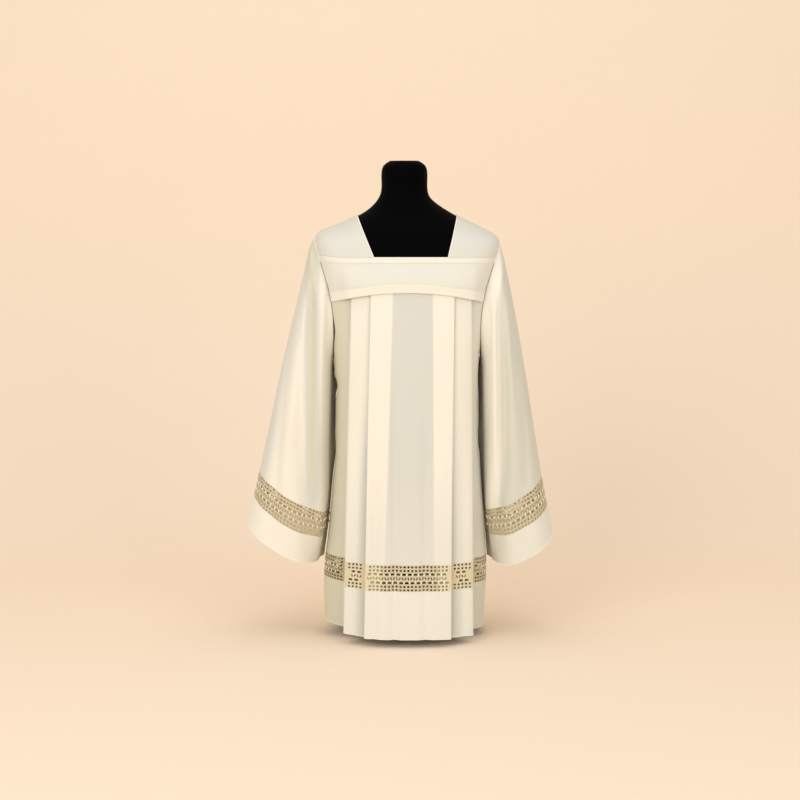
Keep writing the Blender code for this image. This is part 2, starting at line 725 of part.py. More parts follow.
def sleeve_rows(side, places, angles):
    """Rings of the whole sleeve at places along it: 0 is the armhole and 1 the lace's upper edge."""
    steps = len(SLEEVE_RINGS[side])
    key_places = [i / steps for i in range(steps + 1)] + [LACE_END_PLACE, HEM_PLACE]
    key_rows = SLEEVE_RINGS[side] + [SLEEVE_LACE_END[side], SLEEVE_CUFF_END[side]]
    ring_angles = [2 * math.pi * k / SLEEVE_COLUMNS for k in range(SLEEVE_COLUMNS)]
    first = armhole_ring(side)
    first.append(first[0])
    ring_angles.append(2 * math.pi)
    rows = []
    for place in places:
        columns = {}
        for name in SleeveRing._fields:
            values = [getattr(key_row, name) for key_row in key_rows]
            columns[name] = curve_value(key_places[1:], values, place)
        row = SleeveRing(**columns)
        centre = ((row.outer_x + row.inner_x) / 2, 0.0, (row.outer_z + row.inner_z) / 2)
        target = sleeve_ring(row, angles, place ** 2)
        if place < key_places[1]:
            start = [[curve_value(ring_angles, [p[i] for p in first], angle) for i in range(3)]
                     for angle in angles]
            blend = place / key_places[1]
            target = [tuple(lerp(a, b, blend) for a, b in zip(p, q)) for p, q in zip(start, target)]
        target = sleeve_folds(side, target, centre, angles, place)
        rows.append([settle((SIGN[side] * x, y, z)) for x, y, z in target])
    return rows


def make_sleeve(side, material):
    angles = [2 * math.pi * k / SLEEVE_COLUMNS for k in range(SLEEVE_COLUMNS)]
    places = [i / SLEEVE_ROWS for i in range(SLEEVE_ROWS)] + [1.0 - HALF_SEAM / SLEEVE_LENGTH]
    rows = sleeve_rows(side, places, angles)
    return grid_sheet("sleeve_" + side, rows, -SIGN[side], material, closed=True)


def half_angles(face, shares):
    """Angles across the front or the back half of a sleeve, a little short of its edges."""
    start = 0.0 if face == "front" else math.pi
    return [start + min(max(math.pi * share, LACE_END_INSET), math.pi - LACE_END_INSET) for share in shares]


def even_arc_angles(side, face, place, shares):
    """Angles on a sleeve's half ring whose points have the given shares of its length."""
    fine = half_angles(face, [i / 60 for i in range(61)])
    marks = row_shares(sleeve_rows(side, [place], fine)[0])
    return [curve_value(marks, fine, share) for share in shares]


def make_sleeve_lace(side, face, material):
    border_angles = half_angles(face, [i / (SLEEVE_COLUMNS // 2) for i in range(SLEEVE_COLUMNS // 2 + 1)])
    seam = HALF_SEAM / SLEEVE_LENGTH
    border_places = [1.0 + seam, LACE_END_PLACE - seam]
    borders = sleeve_rows(side, border_places, border_angles)
    middle = (1.0 + LACE_END_PLACE) / 2
    length = row_length(sleeve_rows(side, [middle], half_angles(face, [i / 40 for i in range(41)]))[0])
    gap_rows = []
    for share, lower in gap_edge_shares():
        place = lerp(1.0, LACE_END_PLACE, share)
        cuts = gap_cuts(length, LACE_SLEEVE_GAPS_MOST, lower)
        gap_rows.append(sleeve_rows(side, [place], even_arc_angles(side, face, middle, cuts))[0])
    flags = [index % 2 == 1 for index in range(len(gap_rows[0]) - 1)]
    name = "sleeve_lace_" + side + "_" + face
    return lace_sheet(name, borders, gap_rows, flags, -SIGN[side], material)


def make_cuff(side, material):
    angles = [2 * math.pi * k / SLEEVE_COLUMNS for k in range(SLEEVE_COLUMNS)]
    rows = sleeve_rows(side, [LACE_END_PLACE + HALF_SEAM / SLEEVE_LENGTH, HEM_PLACE], angles)
    return grid_sheet("cuff_" + side, rows, -SIGN[side], material, closed=True)


def ring_solid(name, rings, material):
    """A closed solid through rings, the lowest ring first, with flat ends."""
    form = bmesh.new()
    vertex_rings = [[form.verts.new(point) for point in ring] for ring in rings]
    for lower, upper in zip(vertex_rings, vertex_rings[1:]):
        for i in range(len(lower)):
            j = (i + 1) % len(lower)
            form.faces.new((lower[i], lower[j], upper[j], upper[i]))
    form.faces.new(list(reversed(vertex_rings[0])))
    form.faces.new(vertex_rings[-1])
    mesh = bpy.data.meshes.new(name)
    form.to_mesh(mesh)
    form.free()
    return add_object(name, mesh, material)


def oval_ring(half_width, half_depth, power, z, steps):
    ring = []
    for k in range(steps):
        angle = 2 * math.pi * k / steps
        x = half_width * signed_power(math.cos(angle), 2 / power)
        y = half_depth * signed_power(math.sin(angle), 2 / power)
        ring.append((x, y, z))
    return ring


def make_form(material):
    rings = []
    for row in FORM_SECTIONS:
        ring = oval_ring(row.half_width, row.half_depth, row.power, row.z, FORM_COLUMNS)
        rings.append([settle(point) for point in ring])
    return ring_solid("form_torso", rings, material)


def make_pole(material):
    bottom = BASE_THICKNESS + SEAM_GAP
    top = FORM_SECTIONS[0].z - GARMENT_DROP - SEAM_GAP
    rings = [oval_ring(POLE_RADIUS, POLE_RADIUS, 2.0, z, POLE_STEPS) for z in (bottom, top)]
    return ring_solid("form_pole", rings, material)


def make_base(material):
    bevel = BASE_EDGE_BEVEL
    rings = [
        oval_ring(BASE_HALF_WIDTH, BASE_HALF_DEPTH, 2.0, 0.0, ROUND_STEPS),
        oval_ring(BASE_HALF_WIDTH, BASE_HALF_DEPTH, 2.0, BASE_THICKNESS - bevel, ROUND_STEPS),
        oval_ring(BASE_HALF_WIDTH - bevel, BASE_HALF_DEPTH - bevel, 2.0, BASE_THICKNESS, ROUND_STEPS),
    ]
    return ring_solid("form_base", rings, material)


def build():
    clear_scene()
    for face in ("front", "back"):
        make_yoke(face, make_material("yoke_linen_" + face, LINEN_COLOUR, 0.85))
        make_skirt(face, make_material("skirt_linen_" + face, LINEN_COLOUR, 0.85))
        make_body_lace(face, make_material("body_lace_" + face, LACE_COLOUR, 0.80))
        make_hem(face, make_material("hem_linen_" + face, LINEN_COLOUR, 0.85))
    for side in ("left", "right"):
        make_shoulder(side, make_material("shoulder_linen_" + side, LINEN_COLOUR, 0.85))
        make_sleeve(side, make_material("sleeve_linen_" + side, LINEN_COLOUR, 0.85))
        for face in ("front", "back"):
            lace = make_material("sleeve_lace_" + side + "_" + face, LACE_COLOUR, 0.80)
            make_sleeve_lace(side, face, lace)
        make_cuff(side, make_material("cuff_linen_" + side, LINEN_COLOUR, 0.85))
    make_form(make_material("form_cover", FORM_COLOUR, 0.70))
    make_pole(make_material("pole_paint", STAND_COLOUR, 0.45, 0.6))
    make_base(make_material("base_paint", STAND_COLOUR, 0.45, 0.6))


build()
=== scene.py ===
import math
from functools import lru_cache

import bmesh
import bpy
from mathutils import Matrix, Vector


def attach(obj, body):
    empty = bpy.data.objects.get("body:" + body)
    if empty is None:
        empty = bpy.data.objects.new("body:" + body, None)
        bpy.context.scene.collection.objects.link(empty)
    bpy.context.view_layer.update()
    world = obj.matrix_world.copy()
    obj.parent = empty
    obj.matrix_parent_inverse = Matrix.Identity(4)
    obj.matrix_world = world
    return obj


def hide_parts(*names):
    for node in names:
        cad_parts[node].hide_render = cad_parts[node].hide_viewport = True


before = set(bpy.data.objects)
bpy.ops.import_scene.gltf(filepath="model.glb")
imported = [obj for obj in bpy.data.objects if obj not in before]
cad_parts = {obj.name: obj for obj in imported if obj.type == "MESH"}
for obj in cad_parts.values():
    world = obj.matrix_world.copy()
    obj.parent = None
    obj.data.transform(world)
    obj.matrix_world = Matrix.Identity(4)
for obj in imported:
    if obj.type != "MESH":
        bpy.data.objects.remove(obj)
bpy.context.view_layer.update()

sign = {"left": -1.0, "right": 1.0}
faceSign = {"front": -1.0, "back": 1.0}

garment = {
    "wall": 0.0007,
    "halfSeam": 0.00015,
    "hem": 0.030,
    "laceBottom": 0.136,
    "laceTop": 0.194,
    "yokeBottom": 0.789,
    "neckline": {"front": 0.8645, "back": 0.884},
    "neckPoint": 0.9545,
    "hemSideRise": {"left": 0.011, "right": 0.0005},
    "yokeSideDrop": 0.019,
    "sideReference": 0.160,  # distance from the middle at which side drop and side rise are full
    "reachLimit": 1.15,
    "dropFrom": 0.600,
    "riseAbove": 0.1,        # the hem's side rise fades out this far above the lace
    "neckCorner": {"left": 0.0726, "right": 0.0886},
    "drop": 0.012,           # the whole garment stands this much lower than its heights say
    "tipRise": {"left": 0.0070, "right": 0.0},  # the left shoulder's tip stands higher
    "tipSpan": (0.130, 0.200),  # growing over this distance from the middle, up to tipTop
    "tipTop": 0.905,
    "neckShift": 0.006,      # how far the neck stands to the left
    "neckSpan": (0.960, 1.000),
    "chest": 0.800,          # above this height the cloth follows the form
    "skirtTop": 0.797,       # hidden under the yoke
    "ease": (0.0025, 0.0050),  # room between the form and the cloth on it, sideways and in depth
    "lowPull": {"left": 0.0, "right": 0.07},    # how much narrower the hem hangs, as a share
    "pullTop": 0.300,
}

formShape = {
    "z": [.262, .272, .310, .380, .470, .560, .650, .730, .800, .850, .880, .898, .910, .925, .940,
          .9555, .970, .985, .999, 1.016, 1.050, 1.066, 1.075],
    "halfWidth": [.116, .133, .145, .146, .142, .142, .149, .161, .177, .190, .1995, .2015, .1935, .1670,
                  .1370, .1065, .0830, .0650, .0545, .0510, .0508, .0455, .0320],
    "halfDepth": [.060, .072, .081, .084, .085, .091, .101, .110, .115, .112, .106, .099, .0935, .086,
                  .077, .068, .061, .055, .051, .0495, .0490, .0440, .0310],
    "power": [2.2, 2.3, 2.4, 2.5, 2.5, 2.6, 3.2, 3.8, 4.1, 4.0, 3.5, 3.0, 2.7, 2.5, 2.4, 2.2, 2.1,
              2.0, 2.0, 2.0, 2.0, 2.0, 2.0],
}

bodyShape = {
    "z": [.030, .150, .250, .350, .450, .550, .640, .700, .750, .800],
    "halfWidth": [.187, .187, .177, .168, .162, .160, .163, .167, .172, .1795],
    "halfDepth": [.084, .090, .097, .103, .108, .112, .116, .118, .119, .119],
    "power": [2.6, 2.6, 2.7, 2.8, 3.0, 3.2, 3.6, 4.0, 4.1, 4.1],
}

pleats = {
    "radius": 0.0013,
    "left": {
        "z": [.030, .300, .560, .800],
        "fold1": [.095, .090, .085, .079],
        "fold2": [.141, .135, .128, .121],
        "under1": [.039, .040, .042, .044],
        "under2": [.036, .038, .040, .041],
        "lift1": [.016, .012, .0085, .0056],
        "lift2": [.060, .034, .015, .0056],
    },
    "right": {
        "z": [.030, .300, .560, .800],
        "fold1": [.097, .098, .101, .103],
        "fold2": [.147, .145, .143, .140],
        "under1": [.035, .038, .042, .045],
        "under2": [.036, .037, .039, .036],
        "lift1": [.016, .012, .0085, .0056],
        "lift2": [.060, .034, .015, .0056],
    },
}


def smoothStep(low, high, value):
    t = min(max((value - low) / (high - low), 0.0), 1.0)
    return t * t * (3 - 2 * t)


def lerp(a, b, t):
    return a + (b - a) * t


def curveValue(keys, values, key):
    # smooth through the values, level past both ends
    if key <= keys[0]:
        return values[0]
    if key >= keys[-1]:
        return values[-1]
    i = max(n for n in range(len(keys) - 1) if keys[n] <= key)
    span = keys[i + 1] - keys[i]
    t = (key - keys[i]) / span
    slopes = []
    for n in (i, i + 1):
        before, after = max(n - 1, 0), min(n + 1, len(keys) - 1)
        slopes.append((values[after] - values[before]) / (keys[after] - keys[before]) * span)
    t2, t3 = t * t, t * t * t
    return ((2 * t3 - 3 * t2 + 1) * values[i] + (t3 - 2 * t2 + t) * slopes[0]
            + (3 * t2 - 2 * t3) * values[i + 1] + (t3 - t2) * slopes[1])


def fromTable(table, name, key):
    # a table's rows stand at heights, or at places along the sleeve
    return curveValue(table["z"] if "z" in table else table["place"], table[name], key)


def named(names, *rows):
    # rows of plain values as dictionaries
    return [dict(zip(names.split(), row)) for row in rows]


sectionNames = ("halfWidth", "halfDepth", "power")


@lru_cache(maxsize=None)
def clothSection(z, side):
    # the cloth's half width, half depth and roundness, without its pleats
    if z <= garment["chest"]:
        pull = garment["lowPull"][side] * (1 - smoothStep(garment["hem"], garment["pullTop"], z))
        halfWidth, halfDepth, power = (fromTable(bodyShape, name, z) for name in sectionNames)
        return halfWidth * (1 - pull), halfDepth, power
    halfWidth, halfDepth, power = (fromTable(formShape, name, z) for name in sectionNames)
    return halfWidth + garment["ease"][0], halfDepth + garment["ease"][1], power


@lru_cache(maxsize=None)
def pleatRow(z, side):
    names = ("fold1", "fold2", "under1", "under2", "lift1", "lift2")
    return {name: fromTable(pleats[side], name, z) for name in names}


def otherAxis(share, power):
    return max(1.0 - min(abs(share), 1.0) ** power, 0.0) ** (1.0 / power)


def axisAt(half, share, power):
    return half * max(share, 0.0) ** (2 / power)


def baseDepth(x, z, side):
    halfWidth, halfDepth, power = clothSection(z, side)
    return halfDepth * otherAxis(x / halfWidth, power)


def sideOf(x):
    return "left" if x < 0 else "right"


def settle(point):
    # raises the shoulder's tip, shifts the neck and lowers everything
    x, y, z = point
    rise = garment["tipRise"][sideOf(x)] * smoothStep(*garment["tipSpan"], abs(x))
    return Vector((x - garment["neckShift"] * smoothStep(*garment["neckSpan"], z), y,
                   z + rise * smoothStep(garment["chest"], garment["tipTop"], z) - garment["drop"]))


armhole = {"top": 0.905, "bottom": 0.640, "halfDepth": 0.078, "lowerFullness": 0.012, "roundness": 0.9,
           "gap": 0.0016}


def armholePoint(angle, side):
    # distance from the middle, depth and height; the angle runs from the armhole's top
    middle = (armhole["top"] + armhole["bottom"]) / 2
    z = middle + (armhole["top"] - armhole["bottom"]) / 2 * math.cos(angle)
    fullness = armhole["halfDepth"] - armhole["lowerFullness"] * math.cos(angle)
    depth = fullness * abs(math.sin(angle)) ** armhole["roundness"]
    halfWidth, halfDepth, power = clothSection(z, side)
    return halfWidth * otherAxis(depth / halfDepth, power), depth, z


def armholeAngle(z):
    middle = (armhole["top"] + armhole["bottom"]) / 2
    return math.acos(min(max((z - middle) / (armhole["top"] - armhole["bottom"]) * 2, -1.0), 1.0))


def rowLength(points):
    return sum((b - a).length for a, b in zip(points, points[1:]))


def addObject(name, data):
    made = bpy.data.objects.new(name, data)
    bpy.context.scene.collection.objects.link(made)
    return made


def evaluatedMesh(piece):
    graph = bpy.context.evaluated_depsgraph_get()
    return bpy.data.meshes.new_from_object(piece.evaluated_get(graph))


# Finishes

def setSockets(node, values):
    for name, value in values.items():
        node.inputs[name].default_value = value


def addNode(tree, kind, values=None, **settings):
    node = tree.nodes.new(kind)
    for name, value in settings.items():
        setattr(node, name, value)
    setSockets(node, values or {})
    return node


def connect(tree, *pairs):
    for source, target in pairs:
        tree.links.new(source, target)


def newFinish(name):
    finish = bpy.data.materials.new(name)
    finish.use_nodes = True
    return finish, finish.node_tree, finish.node_tree.nodes["Principled BSDF"]


def socketMix(tree, factor, first, second):
    mix = addNode(tree, "ShaderNodeMix", data_type="RGBA")
    tree.links.new(factor, mix.inputs["Factor"])
    for socket, value in ((mix.inputs[6], first), (mix.inputs[7], second)):
        if isinstance(value, tuple):
            socket.default_value = value
        else:
            tree.links.new(value, socket)
    return mix.outputs[2]


def weaveHeight(tree, threads):
    # warp and weft as two sets of waves on the flat cloth
    place = addNode(tree, "ShaderNodeUVMap", uv_map="cloth")
    total = addNode(tree, "ShaderNodeMath", operation="MULTIPLY")
    for n, direction in enumerate(("X", "Y")):
        wave = addNode(tree, "ShaderNodeTexWave", {"Scale": threads, "Distortion": 0.4, "Detail": 1.0},
                       bands_direction=direction)
        connect(tree, (place.outputs["UV"], wave.inputs["Vector"]), (wave.outputs["Fac"], total.inputs[n]))
    return total.outputs[0]


def clothFinish(name, look):
    # the attribute mixes the cloth's colour with the single-layer colour up to 1, and with the painted shade
    # colour up to 2; its values paint shade on folds, side panels, sleeves and shoulders as well as thin
    # cloth over the dark form
    finish, tree, shader = newFinish(name)
    layers = addNode(tree, "ShaderNodeAttribute", attribute_name="layers").outputs["Fac"]
    place = addNode(tree, "ShaderNodeTexCoord")
    noise = addNode(tree, "ShaderNodeTexNoise", {"Scale": look["patchScale"], "Detail": 2.0})
    second = addNode(tree, "ShaderNodeMath", {1: 1.0}, operation="SUBTRACT")
    cloth = socketMix(tree, noise.outputs["Fac"], look["warm"], look["cool"])
    tinted = socketMix(tree, layers, cloth, look["single"])
    paintedShade = socketMix(tree, second.outputs[0], tinted, look["paintedShade"])
    bump = addNode(tree, "ShaderNodeBump", {"Strength": look["weave"], "Distance": 0.0002})
    connect(tree, (place.outputs["Object"], noise.inputs["Vector"]), (layers, second.inputs[0]),
            (paintedShade, shader.inputs["Base Color"]), (weaveHeight(tree, look["threads"]), bump.inputs["Height"]),
            (bump.outputs["Normal"], shader.inputs["Normal"]))
    setSockets(shader, {"Roughness": look["roughness"], "Sheen Weight": look["sheen"], "Sheen Roughness": 0.5,
                        "Specular IOR Level": 0.25})
    return finish


linenLook = {
    "warm": (0.92, 0.865, 0.745, 1.0),
    "cool": (0.90, 0.870, 0.775, 1.0),
    # single: one thin layer over the dark form, and the first step of painted shade; the next colour is
    # painted shade
    "single": (0.705, 0.705, 0.640, 1.0),
    "paintedShade": (0.69, 0.665, 0.520, 1.0),
    "patchScale": 9.0,
    "roughness": 0.85,
    "sheen": 0.10,
    "weave": 0.25,
    "threads": 260.0,
}
laceLook = {
    "warm": (0.80, 0.71, 0.49, 1.0),
    "cool": (0.76, 0.69, 0.48, 1.0),
    # single: lace over a dark opening, and the first step of painted shade; the next colour is painted shade
    "single": (0.50, 0.43, 0.27, 1.0),
    "paintedShade": (0.40, 0.33, 0.19, 1.0),
    "patchScale": 30.0,
    "roughness": 0.80,
    "sheen": 0.05,
    "weave": 0.35,
    "threads": 330.0,
}
linen = clothFinish("ivory linen", linenLook)
laceThread = clothFinish("natural lace", laceLook)


def plainFinish(name, colour, roughness, metallic=0.0, specular=0.4):
    finish, _, shader = newFinish(name)
    setSockets(shader, {"Base Color": (*colour, 1.0), "Roughness": roughness, "Metallic": metallic,
                        "Specular IOR Level": specular})
    return finish


sewingThread = plainFinish("sewing thread", (0.90, 0.86, 0.74), 0.7)
whiteThread = plainFinish("white lace thread", (0.97, 0.96, 0.90), 0.6)
turnedEdge = plainFinish("turned linen edge", (0.95, 0.92, 0.84), 0.8)
formJersey = plainFinish("black jersey", (0.0008, 0.0008, 0.0010), 0.7, specular=0.03)
standPaint = plainFinish("black stand paint", (0.010, 0.010, 0.011), 0.42, 0.3)


# Cloth making: rows of points become a thin sheet with a flat cut in its UV map

clothSharpFrom = math.radians(50)


def finishSheet(name, form, face, material, tint, wall):
    # face is -1 where the rows' left-to-right order already looks outwards
    if face > 0:
        bmesh.ops.reverse_faces(form, faces=form.faces)
    mesh = bpy.data.meshes.new(name)
    form.to_mesh(mesh)
    form.free()
    mesh.attributes.new("layers", "FLOAT", "POINT").data.foreach_set("value", tint)
    mesh.materials.append(material)
    piece = addObject(name, mesh)
    solid = piece.modifiers.new("wall", "SOLIDIFY")
    solid.thickness = wall
    solid.offset = 0.0
    thick = evaluatedMesh(piece)
    piece.modifiers.clear()
    piece.data = thick
    thick.name = name
    thick.shade_smooth()
    thick.set_sharp_from_angle(angle=clothSharpFrom)
    return piece


def layFlat(form, rows):
    # each point's place on the flat cloth, in metres
    flat = {}
    down = 0.0
    for n, row in enumerate(rows):
        if n:
            down += sum((a.co - b.co).length for a, b in zip(row, rows[n - 1])) / len(row)
        along = 0.0
        for i, vert in enumerate(row):
            if i:
                along += (vert.co - row[i - 1].co).length
            flat[vert] = (along, -down)
    layer = form.loops.layers.uv.new("cloth")
    for polygon in form.faces:
        for loop in polygon.loops:
            loop[layer].uv = flat[loop.vert]


def gridSheet(name, rows, face, tints, closed=False, wall=garment["wall"]):
    form = bmesh.new()
    verts = [[form.verts.new(point) for point in row] for row in rows]
    count = len(rows[0])
    for upper, lower in zip(verts, verts[1:]):
        for i in range(count if closed else count - 1):
            j = (i + 1) % count
            form.faces.new((upper[i], lower[i], lower[j], upper[j]))
    layFlat(form, verts)
    return finishSheet(name, form, face, linen, [value for row in tints for value in row], wall)


def flatSize(rows, closed=False):
    widths = [rowLength(list(row) + ([row[0]] if closed else [])) for row in rows]
    lengths = [rowLength(column) for column in list(zip(*rows))[::4]]
    return round(sum(widths) / len(widths), 3), round(sum(lengths) / len(lengths), 3)


# Body: a wide box panel in the middle and two knife pleats on each side, front and back

body = {
    "centreSteps": [14, 26, 10],   # steps left of the single-layer part, across it and right of it
    "singleLayerTop": (-0.032, 0.057),
    "singleLayerHem": (-0.056, 0.062),
    "middleBlend": (-0.02, 0.02),  # where the left side's folds give way to the right side's
    "waveSpan": (0.30, 0.95),      # share of the side panel over which its waves grow
    "leastDepth": 0.0003,          # keeps front and back apart at the sides
    "secondSteps": 10,
    "sideSteps": 18,
    "turnSteps": 5,
    "underSteps": 4,
    "skirtRows": 64,
    "hemRows": 14,
}

# 0 where several layers lie together, 1 where one layer hangs over the dark form; above 1 it is painted
# shade, up to 2
skirtTints = {
    # the side panels: one layer over the dark form and painted shade, more on the left
    "side": {"left": 1.8, "right": 0.85},
    "sideFade": 0.06,
    "single": 1.0,
    "border": 0.01,          # share of the single-layer part that its border takes on each side
    "singleFade": 0.25,      # how much the single-layer part brightens towards the hem
    "double": 0.35,          # how much the double parts beside it darken there
    "lowSpan": (0.20, 0.45),
    "second": 0.12,
    # painted shade on the second panels beside their inner fold, strongest low down
    "secondFoldShade": {"left": 1.5, "right": 0.7},
    "innerShare": 0.50,
    "innerSpan": (0.28, 0.62),
    "secondLow": 0.35,
    "secondSpan": (0.15, 0.40),
    # painted shade in the folded parts that lie under the pleats
    "folded": 1.2,
}
hemTints = {
    # painted shade on the side panels, more on the left, beside the second panels' inner folds and in the
    # folded parts
    "side": {"left": 2.0, "right": 1.5},
    "sideFade": 0.06,
    "centre": 0.30,
    "second": 0.35,
    "secondFoldShade": 1.45,
    "innerShare": 0.60,
    "folded": 1.8,
}

# where the side panels' outer edges draw in towards the form
sideWaves = named("side height reach inwards",
                  ("left", .575, .036, .0055),
                  ("left", .702, .042, .0024),
                  ("left", .420, .060, .0030),
                  ("right", .615, .070, .0045),
                  ("right", .450, .055, .0030))

# soft troughs in the hanging panels: where across, how wide, how deep and how high they reach
ripples = named("side panel place width swell high",
                ("left", "centre", .30, .16, -.0050, .70),
                ("left", "centre", .78, .14, -.0040, .50),
                ("right", "centre", .42, .17, -.0045, .62),
                ("right", "second", .55, .30, -.0030, .55),
                ("left", "second", .50, .28, -.0030, .60))


def roundSwell(away):
    # a rounded swell, 1 in its middle and 0 at a distance of 1
    return 0.5 * (1 + math.cos(math.pi * away)) if away < 1 else 0.0


def sideWaveAt(side, z):
    return sum(wave["inwards"] * roundSwell(abs(z - wave["height"]) / wave["reach"])
               for wave in sideWaves if wave["side"] == side)


def rippleAt(side, panel, place, z):
    total = 0.0
    for ripple in ripples:
        if ripple["side"] == side and ripple["panel"] == panel:
            fade = 1 - smoothStep(garment["hem"] / 2 + ripple["high"] / 2, ripple["high"], z)
            total += ripple["swell"] * roundSwell(abs(place - ripple["place"]) / ripple["width"]) * fade
    return total


def shares(steps):
    return [i / steps for i in range(steps + 1)]


def centreColumns():
    # closer columns on both edges of the single-layer part, so that its border stays sharp
    left, across, right = body["centreSteps"]
    return ([("centre", 0, i / left) for i in range(left)]
            + [("centre", 1, share) for share in shares(across)]
            + [("centre", 2, i / right) for i in range(1, right + 1)])


def sideColumns(side, second, panel):
    # from the middle panel's edge round both folds; second and panel are the columns between and after them
    columns = []
    for fold in (1, 2):
        turn = body["turnSteps"]
        columns += [("turn", side, fold, math.pi * i / turn) for i in range(1, turn + 1)]
        columns += [("under", side, fold, i / body["underSteps"]) for i in range(1, body["underSteps"])]
        columns += [("tuck", side, fold, math.pi * i / turn) for i in range(turn + 1)]
        columns += second if fold == 1 else panel
    return columns


def bodyColumns(centre, second, panel):
    left, right = (sideColumns(side, second[side], panel[side]) for side in sign)
    return list(reversed(left)) + centre + right


@lru_cache(maxsize=None)
def sideArc(z, side):
    # the angles between which the side panel runs on its section
    halfWidth, halfDepth, power = clothSection(z, side)
    if z > armhole["bottom"]:
        endX, endDepth, _ = armholePoint(armholeAngle(z), side)
    else:
        endX, endDepth = halfWidth, 0.0
    startX = pleatRow(z, side)["fold2"]
    startDepth = baseDepth(startX, z, side)

    def angle(x, depth):
        return math.atan2((depth / halfDepth) ** (power / 2), (x / halfWidth) ** (power / 2))
    return angle(startX, startDepth), angle(endX, endDepth)


def flatPoint(column, z):
    kind = column[0]
    radius = pleats["radius"]
    if kind == "centre":
        left, right = pleatRow(z, "left"), pleatRow(z, "right")
        start, end = -(left["fold1"] - radius), right["fold1"] - radius
        low = (garment["chest"] - z) / (garment["chest"] - garment["hem"])
        single = [lerp(a, b, low) for a, b in zip(body["singleLayerTop"], body["singleLayerHem"])]
        marks = [start, *single, end]
        part = (start, end) if column[1] is None else marks[column[1]:column[1] + 2]
        x = lerp(*part, column[2])
        lift = lerp(left["lift1"] + left["lift2"], right["lift1"] + right["lift2"],
                    smoothStep(*body["middleBlend"], x))
        place = abs(x / (start if x < 0 else end))
        return x, baseDepth(x, z, sideOf(x)) + lift + rippleAt(sideOf(x), "centre", place, z)
    side = column[1]
    row = pleatRow(z, side)
    if kind == "second":
        x = lerp(row["fold1"] + radius, row["fold2"] - radius, column[2])
        depth = baseDepth(x, z, side) + row["lift2"] + rippleAt(side, "second", column[2], z)
    elif kind == "side":
        halfWidth, halfDepth, power = clothSection(z, side)
        angle = lerp(*sideArc(z, side), column[2])
        x = axisAt(halfWidth, math.cos(angle), power)
        x -= sideWaveAt(side, z) * smoothStep(*body["waveSpan"], column[2])
        depth = max(axisAt(halfDepth, math.sin(angle), power), body["leastDepth"])
    else:
        fold = column[2]
        top = row["lift1"] + row["lift2"] if fold == 1 else row["lift2"]
        bottom = row["lift2"] if fold == 1 else 0.0
        edge = row["fold" + str(fold)]
        inner = edge - row["under" + str(fold)]
        if kind == "turn":
            x = edge - radius + radius * math.sin(column[3])
            depth = baseDepth(edge, z, side) + top - radius + radius * math.cos(column[3])
        elif kind == "under":
            x = lerp(edge - radius, inner + radius, column[3])
            depth = lerp(baseDepth(edge, z, side) + top - 2 * radius,
                         baseDepth(inner, z, side) + bottom + 2 * radius, column[3])
        else:
            x = inner + radius - radius * math.sin(column[3])
            depth = baseDepth(inner, z, side) + bottom + radius + radius * math.cos(column[3])
    return sign[side] * x, depth


def bodyPoint(column, nominal, face):
    x, depth = flatPoint(column, nominal)
    reach = min(abs(x) / garment["sideReference"], garment["reachLimit"])
    lowered = smoothStep(garment["dropFrom"], garment["yokeBottom"], nominal)
    drop = garment["yokeSideDrop"] * reach ** 2 * lowered
    low = 1 - smoothStep(garment["hem"], garment["laceTop"] + garment["riseAbove"], nominal)
    rise = garment["hemSideRise"][sideOf(x)] * reach ** 3 * low
    if drop > 0:
        x, depth = flatPoint(column, nominal - drop)
    return settle((x, faceSign[face] * depth, nominal - drop + rise))


# painted shade on the side panels, beside the second panels' folds and in the folded parts; the single-layer
# part greys over the dark form
def skirtTint(column, z):
    kind, part, share = column[:3]
    if kind == "centre":
        low = 1 - smoothStep(*skirtTints["lowSpan"], z)
        border = skirtTints["border"]
        single = part == 1 and border < share < 1 - border and z < garment["yokeBottom"]
        return skirtTints["single"] - skirtTints["singleFade"] * low if single else skirtTints["double"] * low
    if kind == "side":
        return skirtTints["side"][part] * smoothStep(0.0, skirtTints["sideFade"], share)
    if kind == "second":
        inner = (1 - smoothStep(0.0, skirtTints["innerShare"], share)) * (
            1 - smoothStep(*skirtTints["innerSpan"], z))
        low = 1 - smoothStep(*skirtTints["secondSpan"], z)
        return skirtTints["second"] + skirtTints["secondFoldShade"][part] * inner + skirtTints["secondLow"] * low
    return skirtTints["folded"]


def hemTint(column, _):
    # the hem is turned up double, so its middle stays light; painted shade darkens the side panels, the
    # pleats' inner parts and the folded parts under them
    kind, part, share = column[:3]
    if kind == "side":
        return hemTints["side"][part] * smoothStep(0.0, hemTints["sideFade"], share)
    if kind == "second":
        inner = 1 - smoothStep(0.0, hemTints["innerShare"], share)
        return hemTints["second"] + hemTints["secondFoldShade"] * inner
    return hemTints["centre" if kind == "centre" else "folded"]


def plainColumns(kind, side):
    return [(kind, side, share) for share in shares(body[kind + "Steps"])]


def makeBodySheet(name, face, top, bottom, steps, tintOf):
    second, panel = ({side: plainColumns(kind, side) for side in sign} for kind in ("second", "side"))
    columns = bodyColumns(centreColumns(), second, panel)
    levels = [lerp(top, bottom, share) for share in shares(steps)]
    rows = [[bodyPoint(column, z, face) for column in columns] for z in levels]
    tints = [[tintOf(column, z) for column in columns] for z in levels]
    return gridSheet(name + face, rows, faceSign[face], tints), flatSize(rows), rows[-1]


def makeSkirt(face):
    bottom = garment["laceTop"] + garment["halfSeam"]
    return makeBodySheet("skirt_cloth_", face, garment["skirtTop"], bottom, body["skirtRows"], skirtTint)


def makeHem(face):
    top = garment["laceBottom"] - garment["halfSeam"]
    return makeBodySheet("hem_band_", face, top, garment["hem"], body["hemRows"], hemTint)


# Yoke: a plain double band across the chest and the back, under the square neckline

